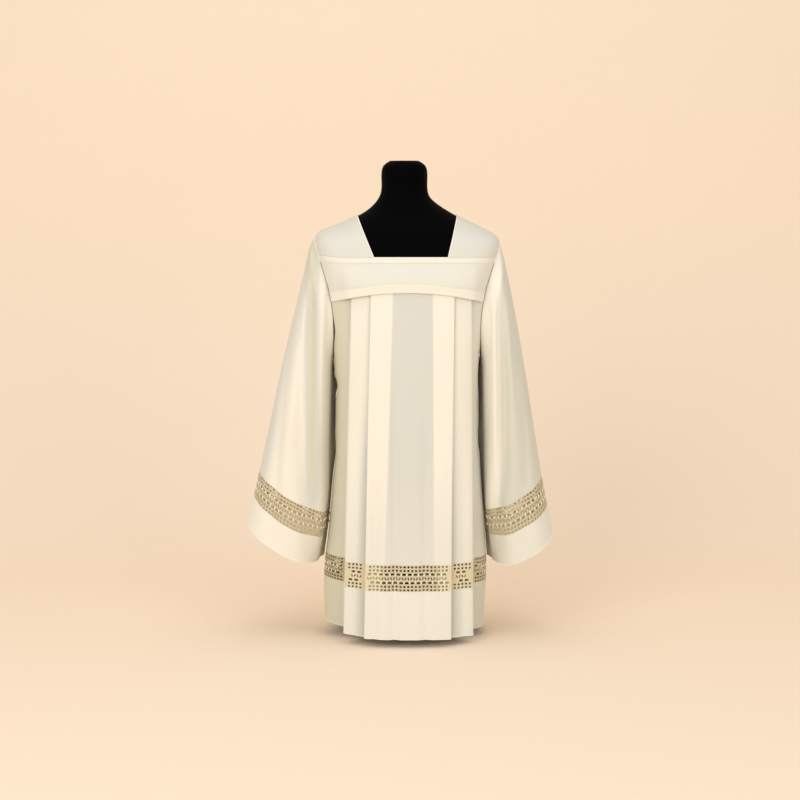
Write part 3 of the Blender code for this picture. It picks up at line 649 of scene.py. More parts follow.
yoke = {
    "columns": 112,
    "rows": 22,
    "overPleats": 0.0031,    # how far it stands out over the pleats under its lower edge
    "pressedFrom": 0.008,    # above the lower edge, and up to pressedTop, it draws in again
    "pressedTop": 0.868,
    "stepStart": 0.003,
    "stepLength": 0.030,
    "tint": 0.55,
    "wall": 0.0009,
}


def sectionAngle(depth, z, side):
    _, halfDepth, power = clothSection(z, side)
    return math.asin(min((depth / halfDepth) ** (power / 2), 1.0))


def yokePoint(u, z, face, lift=0.0):
    side = sideOf(u)
    _, edgeDepth, _ = armholePoint(armholeAngle(z), side)
    halfWidth, _, power = clothSection(z, side)
    angle = lerp(math.pi / 2, sectionAngle(edgeDepth, z, side), abs(u))
    x = axisAt(halfWidth, math.cos(angle), power)
    fold = pleatRow(garment["yokeBottom"], side)
    start = fold["fold2"] + yoke["stepStart"]
    stack = (fold["lift1"] + fold["lift2"]) * (1 - smoothStep(start, start + yoke["stepLength"], x))
    pressed = smoothStep(garment["yokeBottom"] + yoke["pressedFrom"], yoke["pressedTop"], z)
    out = (stack + yoke["overPleats"]) * (1 - pressed)
    return Vector((sign[side] * x, faceSign[face] * (baseDepth(x, z, side) + out + lift), z))


def yokeBottomAt(u, face):
    x = yokePoint(u, garment["yokeBottom"], face).x
    return garment["yokeBottom"] - garment["yokeSideDrop"] * (x / garment["sideReference"]) ** 2


def acrossPlaces(steps):
    return [2 * share - 1 for share in shares(steps)]


def yokeBand(name, face, top, bottom, lift, tint, steps, wall):
    # top and bottom are functions of the place across
    across = acrossPlaces(yoke["columns"])
    rows = [[settle(yokePoint(u, lerp(top(u), bottom(u), share), face, lift)) for u in across]
            for share in shares(steps)]
    tints = [[tint] * len(across) for _ in rows]
    return gridSheet(name + face, rows, faceSign[face], tints, wall=wall), flatSize(rows)


def makeYoke(face):
    top = garment["neckline"][face] - garment["halfSeam"]
    return yokeBand("yoke_cloth_", face, lambda u: top, lambda u: yokeBottomAt(u, face), 0.0, yoke["tint"],
                    yoke["rows"], yoke["wall"])


# Shoulders: from the front band over the ridge to the back band

# the shoulders' tint is painted shade, strongest over the ridge, where less light falls
shoulder = {"rows": 60, "columns": 26, "edgePower": 1.9, "rise": 0.0014, "tint": 0.85, "ridgeShade": 0.85,
            "ridgeSpan": (0.1, 0.9)}


def shoulderPoint(side, along, across):
    # along runs from -1 at the front seam to 1 at the back; across from the neck outwards
    face = "front" if along < 0 else "back"
    seam = garment["neckline"][face] + garment["halfSeam"]
    reach = abs(along)
    neckShare = otherAxis(reach, shoulder["edgePower"])
    neckZ = lerp(seam, garment["neckPoint"], neckShare)
    neckX = lerp(garment["neckCorner"][side], clothSection(garment["neckPoint"], side)[0], neckShare)
    neckAngle = sectionAngle(baseDepth(neckX, neckZ, side), neckZ, side)
    _, armDepth, armZ = armholePoint(armholeAngle(seam) * reach, side)
    z = lerp(neckZ, armZ, across)
    angle = lerp(neckAngle, sectionAngle(armDepth, armZ, side), across)
    halfWidth, halfDepth, power = clothSection(z, side)
    x = axisAt(halfWidth, math.cos(angle), power)
    depth = axisAt(halfDepth, math.sin(angle), power)
    return settle((sign[side] * x, math.copysign(depth, along), z + shoulder["rise"] * (1 - reach)))


def makeShoulder(side):
    along, across = acrossPlaces(shoulder["rows"]), shares(shoulder["columns"])
    rows = [[shoulderPoint(side, a, b) for b in across] for a in along]
    # painted shade, more towards the ridge
    ridge = [1 - smoothStep(*shoulder["ridgeSpan"], abs(a)) for a in along]
    tints = [[shoulder["tint"] + shoulder["ridgeShade"] * share] * len(across) for share in ridge]
    return gridSheet("shoulder_cloth_" + side, rows, sign[side], tints), flatSize(rows)


# Sleeves: wide hanging tubes, each row of the table a ring from its outer to its inner edge

sleeveRings = {
    "left": {
        "place": [.2, .4, .6, .8, 1.0, 1.13, 1.27],
        "outerX": [.2170, .2470, .2820, .3145, .3320, .3445, .3590],
        "outerZ": [.878, .758, .612, .462, .385, .330, .268],
        "innerX": [.1672, .1700, .1730, .1745, .1795, .1885, .2000],
        "innerZ": [.612, .540, .448, .352, .297, .240, .184],
        "halfDepth": [.092, .097, .097, .093, .091, .090, .089],
    },
    "right": {
        "place": [.2, .4, .6, .8, 1.0, 1.13, 1.27],
        "outerX": [.2150, .2390, .2640, .2895, .3030, .3160, .3300],
        "outerZ": [.862, .748, .610, .455, .374, .309, .245],
        "innerX": [.1672, .1695, .1720, .1735, .1770, .1855, .1950],
        "innerZ": [.612, .540, .450, .358, .303, .245, .184],
        "halfDepth": [.092, .096, .095, .091, .089, .088, .087],
    },
}

# soft folds that wander down each sleeve; angles go from the outer edge (0) over the front (90)
foldParts = "top low width depth start end"
sleeveFolds = {
    "left": named(foldParts,
                  (52, 116, 26, -.012, .02, 1.30),
                  (92, 148, 20, .004, .10, 1.50),
                  (24, 62, 22, -.005, .25, 1.50),
                  (302, 244, 28, -.011, .05, 1.35),
                  (334, 296, 24, -.005, .30, 1.50)),
    "right": named(foldParts,
                   (58, 124, 26, -.011, .02, 1.25),
                   (96, 156, 20, .004, .10, 1.50),
                   (26, 76, 24, -.006, .30, 1.50),
                   (300, 238, 26, -.011, .05, 1.30),
                   (330, 290, 24, -.005, .35, 1.50)),
}

sleeve = {"power": 2.35, "length": 0.450, "laceEnd": 1.13, "hem": 1.27, "frontSag": 0.013, "backSag": 0.006,
          "columns": 200, "rows": 84, "cuffRows": 16}

# finer upright creases: how far out they stand at their upper and lower ends, and how wide and deep they are
creaseEnds = {"full": 0.22, "fading": 0.70}  # shares of a crease's length: full from, fading from
creaseParts = "face high low out outLow width swell"
sleeveCreases = {
    "left": named(creaseParts,
                  ("front", .860, .400, .1830, .1840, .0120, .0045),
                  ("front", .860, .330, .2060, .2120, .0130, -.0050),
                  ("front", .800, .480, .2275, .2290, .0085, .0036),
                  ("front", .720, .300, .2560, .2980, .0130, -.0036),
                  ("back", .840, .360, .1990, .2080, .0140, -.0050),
                  ("back", .760, .420, .2300, .2420, .0100, .0034)),
    "right": named(creaseParts,
                   ("front", .860, .340, .1880, .1960, .0120, .0050),
                   ("front", .840, .320, .2090, .2210, .0120, -.0050),
                   ("front", .640, .300, .2440, .2560, .0150, .0026),
                   ("back", .830, .380, .2010, .2100, .0130, -.0048),
                   ("back", .700, .360, .2260, .2480, .0110, .0030)),
}

# the under side of the sleeve's back half fills out towards the body, so that no light shows between them
underSide = {
    "middle": 200.0,
    "width": 26.0,
    "left": {
        "place": [.10, .218, .273, .300, .328, .355, .382, .430, .500, .557, .600, .641, .683, .724, .765,
                  .830, .900, 1.00, 1.10, 1.20, 1.27],
        "inwards": [.0, .0038, .0062, .0098, .0131, .0121, .0100, .0102, .0115, .0112, .0126, .0138, .0129,
                    .0102, .0077, .0063, .0060, .0071, .0094, .0119, .0140],
    },
    "right": {
        "place": [.10, .165, .217, .272, .326, .382, .430, .500, .557, .600, .641, .683, .724, .765, .900,
                  1.00, 1.10, 1.20, 1.27],
        "inwards": [.0, .0069, .0090, .0097, .0091, .0091, .0104, .0115, .0121, .0127, .0117, .0092, .0080,
                    .0072, .0060, .0071, .0088, .0122, .0148],
    },
}


def creaseAt(side, point):
    total = 0.0
    for crease in sleeveCreases[side]:
        if (point.y < 0) == (crease["face"] == "front") and crease["low"] < point.z < crease["high"]:
            share = (crease["high"] - point.z) / (crease["high"] - crease["low"])
            away = abs(point.x - lerp(crease["out"], crease["outLow"], share)) / crease["width"]
            fade = smoothStep(0.0, creaseEnds["full"], share) * (
                1 - smoothStep(creaseEnds["fading"], 1.0, share))
            total += crease["swell"] * roundSwell(away) * fade
    return total


def foldAt(side, place, angle):
    total = 0.0
    for fold in sleeveFolds[side]:
        if fold["start"] < place < fold["end"]:
            middle = math.radians(lerp(fold["top"], fold["low"], place))
            fade = math.sin(math.pi * (place - fold["start"]) / (fold["end"] - fold["start"]))
            total += fold["depth"] * roundSwell(abs(angle - middle) / math.radians(fold["width"])) * fade
    return total


def signedPower(value, power):
    return math.copysign(abs(value) ** power, value)


def sleeveRow(side, place, angles):
    # one ring at a place along the sleeve: 0 is the armhole and 1 the lace's upper edge
    table = sleeveRings[side]
    outerX, outerZ, innerX, innerZ, halfDepth = (
        fromTable(table, name, place) for name in ("outerX", "outerZ", "innerX", "innerZ", "halfDepth"))
    centre = Vector(((outerX + innerX) / 2, 0.0, (outerZ + innerZ) / 2))
    row = []
    for angle in angles:
        along = signedPower(math.cos(angle), 2 / sleeve["power"])
        across = signedPower(math.sin(angle), 2 / sleeve["power"])
        sag = (sleeve["frontSag"] if across > 0 else sleeve["backSag"]) * across ** 2 * place ** 2
        point = Vector((centre.x + (outerX - innerX) / 2 * along, -halfDepth * across,
                        centre.z + (outerZ - innerZ) / 2 * along - sag))
        if place < table["place"][0]:
            x, depth, z = armholePoint(min(angle, 2 * math.pi - angle), side)
            start = Vector((x + armhole["gap"], -depth if angle <= math.pi else depth, z))
            point = start.lerp(point, place / table["place"][0])
        point += (point - centre).normalized() * foldAt(side, place, angle)
        crease = creaseAt(side, point)
        point.y += -crease if point.y < 0 else crease
        away = abs(math.degrees(angle) - underSide["middle"]) / underSide["width"]
        if away < 1:
            point.x -= fromTable(underSide[side], "inwards", place) * (1 - away * away) ** 2
        row.append(settle((sign[side] * point.x, point.y, point.z)))
    return row


# painted shade on the sleeves: a band beside the inner strip, the right sleeve's outer part, the left
# sleeve's outer edge, and a little on the right cuff
sleeveTints = {
    "lean": .006,            # how far the shaded band moves outwards along the sleeve
    "lowSpan": (0.75, 1.15),
    "outerFade": .018,
    "edgeSpan": (28, 62),    # degrees from the outer edge
    "left": {"base": .10, "shade": .2060, "width": .023, "shadeTint": 1.85,
             "outerFrom": 2.0, "outerShade": 0.0, "edgeShade": .75, "cuff": 0.05},
    "right": {"base": .00, "shade": .2120, "width": .016, "shadeTint": 0.20,
              "outerFrom": .1990, "outerShade": 1.35, "edgeShade": .0, "cuff": 0.45},
}


def sleeveTint(side, point, place, angle):
    # painted shade: a band beside the inner strip, over the outer part and along the outer edge
    look = sleeveTints[side]
    x = abs(point.x)
    edge = min(math.degrees(angle), 360 - math.degrees(angle))
    band = roundSwell(min(abs(x - look["shade"] - sleeveTints["lean"] * place) / look["width"], 1.0))
    outerTo = look["outerFrom"] + sleeveTints["outerFade"]
    return (look["base"] + look["shadeTint"] * band * (1 - smoothStep(*sleeveTints["lowSpan"], place))
            + look["outerShade"] * smoothStep(look["outerFrom"], outerTo, x)
            + look["edgeShade"] * (1 - smoothStep(*sleeveTints["edgeSpan"], edge)))


def makeSleeveSheet(name, side, start, end, steps, tintOf):
    # start and end are places along the sleeve
    angles = [2 * math.pi * k / sleeve["columns"] for k in range(sleeve["columns"])]
    places = [lerp(start, end, share) for share in shares(steps)]
    rows = [sleeveRow(side, place, angles) for place in places]
    tints = [[tintOf(side, point, place, angle) for point, angle in zip(row, angles)]
             for row, place in zip(rows, places)]
    return gridSheet(name + side, rows, -sign[side], tints, closed=True), flatSize(rows, closed=True), rows


def makeSleeve(side):
    end = 1 - garment["halfSeam"] / sleeve["length"]
    piece, flat, rows = makeSleeveSheet("sleeve_cloth_", side, 0.0, end, sleeve["rows"], sleeveTint)
    return piece, flat, rows[0]


def makeCuff(side):
    start = sleeve["laceEnd"] + garment["halfSeam"] / sleeve["length"]
    # the cuff's flat tint, on the right painted shade
    piece, flat, rows = makeSleeveSheet("cuff_band_", side, start, sleeve["hem"], sleeve["cuffRows"],
                                        lambda *_: sleeveTints[side]["cuff"])
    return piece, flat, rows[-1]


# Lace: rows of openings cut through the band, from its upper edge down

lace = {
    "margin": 0.0035,
    "endInset": 0.004,
    "wall": 0.0008,
    "corner": 0.0014,
    "bridge": 0.0013,
    "panelSpan": 0.9,        # how much of a step a panel's columns fill
    "centreSteps": 48,
    "measureSteps": 20,
    "ringSteps": 60,
    "rows": named("kind middle pitch width height shifted",
                  ("squares", .065, .0084, .0050, .0046, False),
                  ("squares", .205, .0084, .0050, .0046, False),
                  ("dashes", .348, .0126, .0086, .0048, False),
                  ("slants", .510, .0126, .0026, .0056, False),
                  ("dashes", .671, .0126, .0086, .0048, True),
                  ("squares", .815, .0084, .0050, .0046, False),
                  ("squares", .945, .0084, .0050, .0040, False)),
}

laceTints = {
    "single": 0.5,           # over the dark opening in the middle
    "singleFrom": 0.18,
    "singleTo": 0.85,
    # painted shade on the lace of the side panels, more on the left
    "side": {"left": 1.1, "right": 0.7},
    "second": 0.15,
    "sleeve": 0.6,
}

posts = {  # white posts worked over the bars between the dashes
    "levels": {2: .372, 4: .648},
    "length": 0.0064,
    "width": 0.0026,
    "lift": 0.0008,
    "downStep": .03,         # steps along the lace that find its slope at a post
    "acrossStep": .004,
    "ringPoints": 8,
}


def laceHeight():
    return garment["laceTop"] - garment["laceBottom"]


def openings(row, length, lower=False):
    # pairs of places across a stretch of lace, in metres, where each opening starts and ends
    pitch = row["pitch"]
    wide = lace["rows"][2]["width"]
    half = 0.0 if row["kind"] == "squares" else pitch / 2
    width = row["width"] if row["kind"] == "squares" else wide
    count = max(int((length - 2 * lace["margin"] - half + pitch - width) / pitch), 0)
    start = (length - (count * pitch - (pitch - width) + half)) / 2
    if row["kind"] != "slants":
        start += half if row["shifted"] else 0.0
        return [(start + k * pitch, start + k * pitch + row["width"]) for k in range(count)]
    pairs = []
    for k in range(count):
        # from the bar beside each upper opening down to the bar beside the lower one, and back up
        a = start + k * pitch - (pitch - wide) / 2
        bridge, slant = lace["bridge"] / 2, row["width"]
        if lower:
            middle = a + pitch / 2
            pairs += [(middle - bridge - slant, middle - bridge), (middle + bridge, middle + bridge + slant)]
        else:
            pairs += [(a + bridge, a + bridge + slant), (a + pitch - bridge - slant, a + pitch - bridge)]
    return pairs


def panelShares(row, length, lower):
    places = [0.0]
    for a, b in openings(row, length, lower):
        corner = lace["corner"]
        places += [a, b] if row["kind"] == "slants" else [a, a + corner, b - corner, b]
    return [place / length for place in places] + [1.0]


def panelSteps(row, length):
    parts = ["open"] if row["kind"] == "slants" else ["first", "open", "last"]
    return ["cloth"] + (parts + ["cloth"]) * len(openings(row, length))


def columnPlaces(columns):
    # where each column stands along the band, the same for every row of it
    places = []
    base = 0.0
    for n, column in enumerate(columns):
        onPanel = column[0] in ("centre", "second", "side", "half")
        if not onPanel or not n or column[:2] != columns[n - 1][:2]:
            base += 1.0
        share = column[2] if onPanel else 0.0
        places.append(base + lace["panelSpan"] * (1 - share if onPanel and column[1] == "left" else share))
    return places


def zipRows(form, upper, lower):
    # fills the strip between two rows that have different numbers of points
    i = j = 0
    while i < len(upper) - 1 or j < len(lower) - 1:
        upperNext = upper[i + 1][1] if i < len(upper) - 1 else math.inf
        lowerNext = lower[j + 1][1] if j < len(lower) - 1 else math.inf
        if upperNext <= lowerNext:
            form.faces.new((upper[i][0], lower[j][0], upper[i + 1][0]))
            i += 1
        else:
            form.faces.new((upper[i][0], lower[j][0], lower[j + 1][0]))
            j += 1


def fillStrip(form, columns, steps, upper, lower, strip, strips):
    for i, (a, b) in enumerate(zip(columns, columns[1:])):
        kind = "cloth"
        if a[:2] == b[:2] and a[:2] in steps:
            kind = steps[a[:2]][min(a[3], b[3])]
            if a[3] > b[3]:
                kind = {"first": "last", "last": "first"}.get(kind, kind)
        topLeft, bottomLeft, bottomRight, topRight = upper[i], lower[i], lower[i + 1], upper[i + 1]
        if kind == "cloth":
            form.faces.new((topLeft, bottomLeft, bottomRight, topRight))
        elif kind != "open" and strip in (0, strips - 1):
            corners = {("first", 0): (topLeft, bottomLeft, topRight),
                       ("last", 0): (topLeft, bottomRight, topRight),
                       ("first", strips - 1): (topLeft, bottomLeft, bottomRight),
                       ("last", strips - 1): (bottomLeft, bottomRight, topRight)}
            form.faces.new(corners[kind, strip])


def laceBand(name, face, panels, columnsFor, rowAt, tintOf):
    # panels gives the length of each stretch that has openings; rowAt gives the points at a level
    form = bmesh.new()
    everyColumn = []
    levels = []

    def placed(shareLists, level):
        columns = columnsFor(shareLists)
        verts = [form.verts.new(point) for point in rowAt(columns, level)]
        everyColumn.extend(columns)
        levels.append(verts)
        return columns, verts

    def marked(columns, verts):
        return list(zip(verts, columnPlaces(columns)))

    previous = marked(*placed(None, 0.0))
    for row in lace["rows"]:
        half = row["height"] / laceHeight() / 2
        corner = lace["corner"] / laceHeight()
        top, bottom = row["middle"] - half, row["middle"] + half
        rowLevels = [top, bottom] if row["kind"] == "slants" else [top, top + corner, bottom - corner, bottom]
        steps = {key: panelSteps(row, length) for key, length in panels.items()}
        strips = len(rowLevels) - 1
        rows = []
        for n, level in enumerate(rowLevels):
            lists = {key: panelShares(row, length, n == strips) for key, length in panels.items()}
            rows.append(placed(lists, level))
        zipRows(form, previous, marked(*rows[0]))
        for strip in range(strips):
            fillStrip(form, rows[0][0], steps, rows[strip][1], rows[strip + 1][1], strip, strips)
        previous = marked(*rows[-1])
    zipRows(form, previous, marked(*placed(None, 1.0)))
    layFlat(form, levels)
    order = dict(zip([vert for row in levels for vert in row], everyColumn))
    loose = [vert for vert in form.verts if not vert.link_faces]
    kept = [vert for vert in form.verts if vert.link_faces]
    tint = [tintOf(order[vert]) for vert in kept]
    bmesh.ops.delete(form, geom=loose, context="VERTS")
    return finishSheet(name, form, face, laceThread, tint, lace["wall"])


def bodyLacePanels():
    middle = (garment["laceTop"] + garment["laceBottom"]) / 2
    left, right = pleatRow(middle, "left"), pleatRow(middle, "right")
    panels = {("centre", None): left["fold1"] + right["fold1"] - 2 * pleats["radius"]}
    for side, row in (("left", left), ("right", right)):
        panels["second", side] = row["fold2"] - row["fold1"] - 2 * pleats["radius"]
        points = [Vector((*flatPoint(("side", side, share), middle), 0))
                  for share in shares(lace["measureSteps"])]
        panels["side", side] = rowLength(points)
    return panels


def laceTint(column):
    # duller over the dark opening in the middle, painted shade on the side panels, the plain lace colour
    # where it folds under
    kind, part, share = column[:3]
    if kind == "centre":
        return laceTints["single"] if laceTints["singleFrom"] < share < laceTints["singleTo"] else 0.0
    if kind == "side":
        return laceTints["side"][part]
    return laceTints["second"] if kind == "second" else 0.0


def makeBodyLace(face):
    plain = {("centre", None): shares(lace["centreSteps"])}
    for side in sign:
        plain["second", side] = shares(body["secondSteps"])
        plain["side", side] = shares(body["sideSteps"])

    def columnsFor(lists):
        lists = lists or plain
        columns = {key: [(*key, share, k) for k, share in enumerate(places)] for key, places in lists.items()}
        second, panel = ({side: columns[kind, side] for side in sign} for kind in ("second", "side"))
        return bodyColumns(columns["centre", None], second, panel)

    def rowAt(columns, level):
        seam = garment["halfSeam"]
        z = lerp(garment["laceTop"] - seam, garment["laceBottom"] + seam, level)
        return [bodyPoint(column, z, face) for column in columns]

    piece = laceBand("body_lace_" + face, faceSign[face], bodyLacePanels(), columnsFor, rowAt, laceTint)
    ends = [rowAt(columnsFor(None), level) for level in (0.0, 0.5, 1.0)]
    return piece, flatSize(ends), ends


def halfAngles(face, shareList):
    start = 0.0 if face == "front" else math.pi
    inset = lace["endInset"]
    return [start + min(max(math.pi * share, inset), math.pi - inset) for share in shareList]


def makeSleeveLace(side, face):
    middle = (1.0 + sleeve["laceEnd"]) / 2
    fine = halfAngles(face, shares(lace["ringSteps"]))
    marks = [0.0]
    points = sleeveRow(side, middle, fine)
    for a, b in zip(points, points[1:]):
        marks.append(marks[-1] + (b - a).length)
    length = marks[-1]
    plain = {("half", face): shares(sleeve["columns"] // 2)}

    def columnsFor(lists):
        lists = lists or plain
        return [("half", face, share, k) for k, share in enumerate(lists["half", face])]

    def rowAt(columns, level):
        seam = garment["halfSeam"] / sleeve["length"]
        place = lerp(1.0 + seam, sleeve["laceEnd"] - seam, level)
        angles = [curveValue(marks, fine, column[2] * length) for column in columns]
        if len(columns) == len(plain["half", face]):
            angles = halfAngles(face, [column[2] for column in columns])
        return sleeveRow(side, place, angles)

    name = "sleeve_lace_cloth_" + side + "_" + face
    piece = laceBand(name, -sign[side], {("half", face): length}, columnsFor, rowAt,
                     lambda column: laceTints["sleeve"])
    ends = [rowAt(columnsFor(None), level) for level in (0.0, 0.5, 1.0)]
    return piece, flatSize(ends), ends, (marks, fine)


# Sewing: small stitches along a seam, and the raised posts of the lace

def stitchTree(alongSeam):
    tree = bpy.data.node_groups.new("stitches along a seam" if alongSeam else "posts on the lace",
                                    "GeometryNodeTree")
    sockets = tree.interface
    sockets.new_socket("Geometry", in_out="INPUT", socket_type="NodeSocketGeometry")
    for label in ("Spacing", "Length", "Width"):
        sockets.new_socket(label, in_out="INPUT", socket_type="NodeSocketFloat")
    sockets.new_socket("Thread", in_out="INPUT", socket_type="NodeSocketMaterial")
    sockets.new_socket("Geometry", in_out="OUTPUT", socket_type="NodeSocketGeometry")
    given = addNode(tree, "NodeGroupInput").outputs
    turn = addNode(tree, "FunctionNodeAlignRotationToVector", axis="Z")
    if alongSeam:
        curve = addNode(tree, "GeometryNodeMeshToCurve")
        even = addNode(tree, "GeometryNodeResampleCurve", mode="LENGTH")
        connect(tree, (given["Geometry"], curve.inputs["Mesh"]),
                (curve.outputs["Curve"], even.inputs["Curve"]), (given["Spacing"], even.inputs["Length"]))
        points, down = even.outputs["Curve"], addNode(tree, "GeometryNodeInputTangent").outputs["Tangent"]
    else:
        stored = addNode(tree, "GeometryNodeInputNamedAttribute", {"Name": "down"}, data_type="FLOAT_VECTOR")
        points, down = given["Geometry"], stored.outputs["Attribute"]
    segments, rings = (6, 4) if alongSeam else (8, 5)
    ball = addNode(tree, "GeometryNodeMeshUVSphere", {"Radius": 0.5, "Segments": segments, "Rings": rings})
    size = addNode(tree, "ShaderNodeCombineXYZ")
    shape = addNode(tree, "GeometryNodeTransform")
    place = addNode(tree, "GeometryNodeInstanceOnPoints")
    whole = addNode(tree, "GeometryNodeRealizeInstances")
    paint = addNode(tree, "GeometryNodeSetMaterial")
    result = addNode(tree, "NodeGroupOutput")
    connect(tree, (given["Width"], size.inputs["X"]), (given["Width"], size.inputs["Y"]),
            (given["Length"], size.inputs["Z"]), (ball.outputs["Mesh"], shape.inputs["Geometry"]),
            (size.outputs["Vector"], shape.inputs["Scale"]), (down, turn.inputs["Vector"]),
            (points, place.inputs["Points"]), (shape.outputs["Geometry"], place.inputs["Instance"]),
            (turn.outputs["Rotation"], place.inputs["Rotation"]),
            (place.outputs["Instances"], whole.inputs["Geometry"]),
            (whole.outputs["Geometry"], paint.inputs["Geometry"]),
            (given["Thread"], paint.inputs["Material"]),
            (paint.outputs["Geometry"], result.inputs["Geometry"]))
    return tree


seamStitches = stitchTree(True)
lacePosts = stitchTree(False)


def sew(name, mesh, tree, spacing, length, width, thread):
    mesh.materials.append(thread)
    piece = addObject(name, mesh)
    nodes = piece.modifiers.new("sewing", "NODES")
    nodes.node_group = tree
    values = {"Spacing": spacing, "Length": length, "Width": width, "Thread": thread}
    for item in tree.interface.items_tree:
        if item.in_out == "INPUT" and item.name in values:
            nodes[item.identifier] = values[item.name]
    sewn = evaluatedMesh(piece)
    piece.modifiers.clear()
    piece.data = sewn
    sewn.name = name
    sewn.shade_smooth()
    return piece


def postPlaces(length):
    found = []
    for row, level in posts["levels"].items():
        gaps = openings(lace["rows"][row], length)
        found += [((end + start) / 2 / length, level) for (_, end), (start, _) in zip(gaps, gaps[1:])]
    return found


def raisePosts(name, stretches, axis):
    # stretches pairs the function for a point of the lace with how long the stretch is
    places, downs = [], []
    for pointAt, length in stretches:
        for share, level in postPlaces(length):
            here = pointAt(share, level)
            down = (pointAt(share, level + posts["downStep"]) - here).normalized()
            out = down.cross(pointAt(share + posts["acrossStep"], level) - here).normalized()
            away = Vector((here.x - axis.x, here.y - axis.y, 0))
            places.append(here + out * math.copysign(posts["lift"], out.dot(away)))
            downs.append(down)
    mesh = bpy.data.meshes.new(name)
    mesh.from_pydata(places, [], [])
    attribute = mesh.attributes.new("down", "FLOAT_VECTOR", "POINT")
    attribute.data.foreach_set("vector", [value for down in downs for value in down])
    return sew(name, mesh, lacePosts, 0.0, posts["length"], posts["width"], whiteThread)


def bodyPosts(face):
    stretches = []
    for (kind, side), length in bodyLacePanels().items():
        def pointAt(share, level, kind=kind, side=side):
            z = lerp(garment["laceTop"], garment["laceBottom"], level)
            return bodyPoint((kind, side, share), z, face)

        stretches.append((pointAt, length))
    return raisePosts("lace_posts_" + face, stretches, Vector((0, 0, 0)))


def sleevePosts(side, face, marks, fine):
    def pointAt(share, level):
        place = lerp(1.0, sleeve["laceEnd"], level)
        return sleeveRow(side, place, [curveValue(marks, fine, share * marks[-1])])[0]

    count = posts["ringPoints"]
    ring = sleeveRow(side, (1.0 + sleeve["laceEnd"]) / 2, [2 * math.pi * k / count for k in range(count)])
    axis = sum(ring, Vector()) / count
    return raisePosts("sleeve_lace_posts_" + side + "_" + face, [(pointAt, marks[-1])], axis)


print("helpers ready")

# The form and its stand

formLook = {"columns": 120, "rows": 150, "sharpFrom": 60}


def makeForm():
    form = bmesh.new()
    low, high = formShape["z"][0], formShape["z"][-1]
    rings = []
    for share in shares(formLook["rows"]):
        z = lerp(low, high, share)
        halfWidth, halfDepth, power = (fromTable(formShape, name, z) for name in sectionNames)
        ring = []
        for k in range(formLook["columns"]):
            angle = 2 * math.pi * k / formLook["columns"]
            point = settle((halfWidth * signedPower(math.cos(angle), 2 / power),
                            halfDepth * signedPower(math.sin(angle), 2 / power), z))
            ring.append(form.verts.new(point))
        rings.append(ring)
    for lower, upper in zip(rings, rings[1:]):
        for i in range(len(lower)):
            j = (i + 1) % len(lower)
            form.faces.new((lower[i], lower[j], upper[j], upper[i]))
    form.faces.new(list(reversed(rings[0])))
    form.faces.new(rings[-1])
    mesh = bpy.data.meshes.new("dress_form")
    form.to_mesh(mesh)
    form.free()
    mesh.materials.append(formJersey)
    mesh.shade_smooth()
    mesh.set_sharp_from_angle(angle=math.radians(formLook["sharpFrom"]))
    return addObject("dress_form", mesh)


torso = makeForm()
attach(torso, "root")
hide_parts("form_torso")
for node in ("form_pole", "form_base"):
    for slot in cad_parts[node].material_slots:
        slot.material = standPaint
print("form ready")


# Dressing: each piece takes its place on the body, and a dressing piece hides the part of the model it stands
# for

def dress(piece, node):
    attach(piece, "root")
    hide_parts(node)


def trim(piece):
    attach(piece, "root")


def trimBand(made):
    band, flat = made
    trim(band)


trimLook = {
    "neckEdge": 0.0013,      # radius of the turned edge round the neckline
    "neckLift": 0.0006,
    "neckSteps": 40,
    "hemEdge": 0.0008,
    "armSeam": 0.0015,       # radius of the seam over the shoulder, where the sleeve is set in
    "armSeamReach": 54.0,    # degrees of the armhole's ring that it covers, to the front and to the back
    "facing": {"height": 0.0115, "gap": 0.0004, "tint": 0.25, "rows": 3, "stitch": 0.0016},
    "seamBand": {"height": 0.0190, "gap": 0.0004, "tint": 0.15, "rows": 4, "stitch": 0.0022},
    "bandWall": 0.0006,
    "layerStep": 0.0011,     # from the yoke's cloth to the middle of the layer over it
    "stitchSteps": 160,
    "stitchReach": 0.995,    # share of the yoke's width that its stitches take
    "stitchSpacing": 0.0034,
    "stitchLength": 0.0024,
    "stitchWidth": 0.0006,
    "stitchLift": 0.0004,
    "sleeveStitchLift": 0.0003,
}


def stitchLines(name, lines):
    # one piece for several lines of stitches, each a row of points
    verts, edges = [], []
    for line in lines:
        start = len(verts)
        verts += [tuple(point) for point in line]
        edges += [(start + i, start + i + 1) for i in range(len(line) - 1)]
    mesh = bpy.data.meshes.new(name)
    mesh.from_pydata(verts, edges, [])
    trim(sew(name, mesh, seamStitches, trimLook["stitchSpacing"], trimLook["stitchLength"],
             trimLook["stitchWidth"], sewingThread))


def laceStitches(name, ends, face, lift):
    # along the upper and the lower edge of a band of lace, on its outer side
    away = Vector((0, faceSign[face] * lift, 0))
    stitchLines(name, [[point + away for point in row] for row in (ends[0], ends[-1])])


def tube(name, points, radius, material, closed=False):
    # a thin round edge along a row of points
    curve = bpy.data.curves.new(name, "CURVE")
    curve.dimensions = "3D"
    curve.bevel_depth = radius
    curve.bevel_resolution = 2
    curve.use_fill_caps = not closed
    line = curve.splines.new("POLY")
    line.points.add(len(points) - 1)
    for knot, point in zip(line.points, points):
        knot.co = (*point, 1.0)
    line.use_cyclic_u = closed
    path = addObject(name, curve)
    mesh = evaluatedMesh(path)
    bpy.data.objects.remove(path)
    mesh.materials.clear()
    mesh.materials.append(material)
    mesh.shade_smooth()
    trim(addObject(name, mesh))


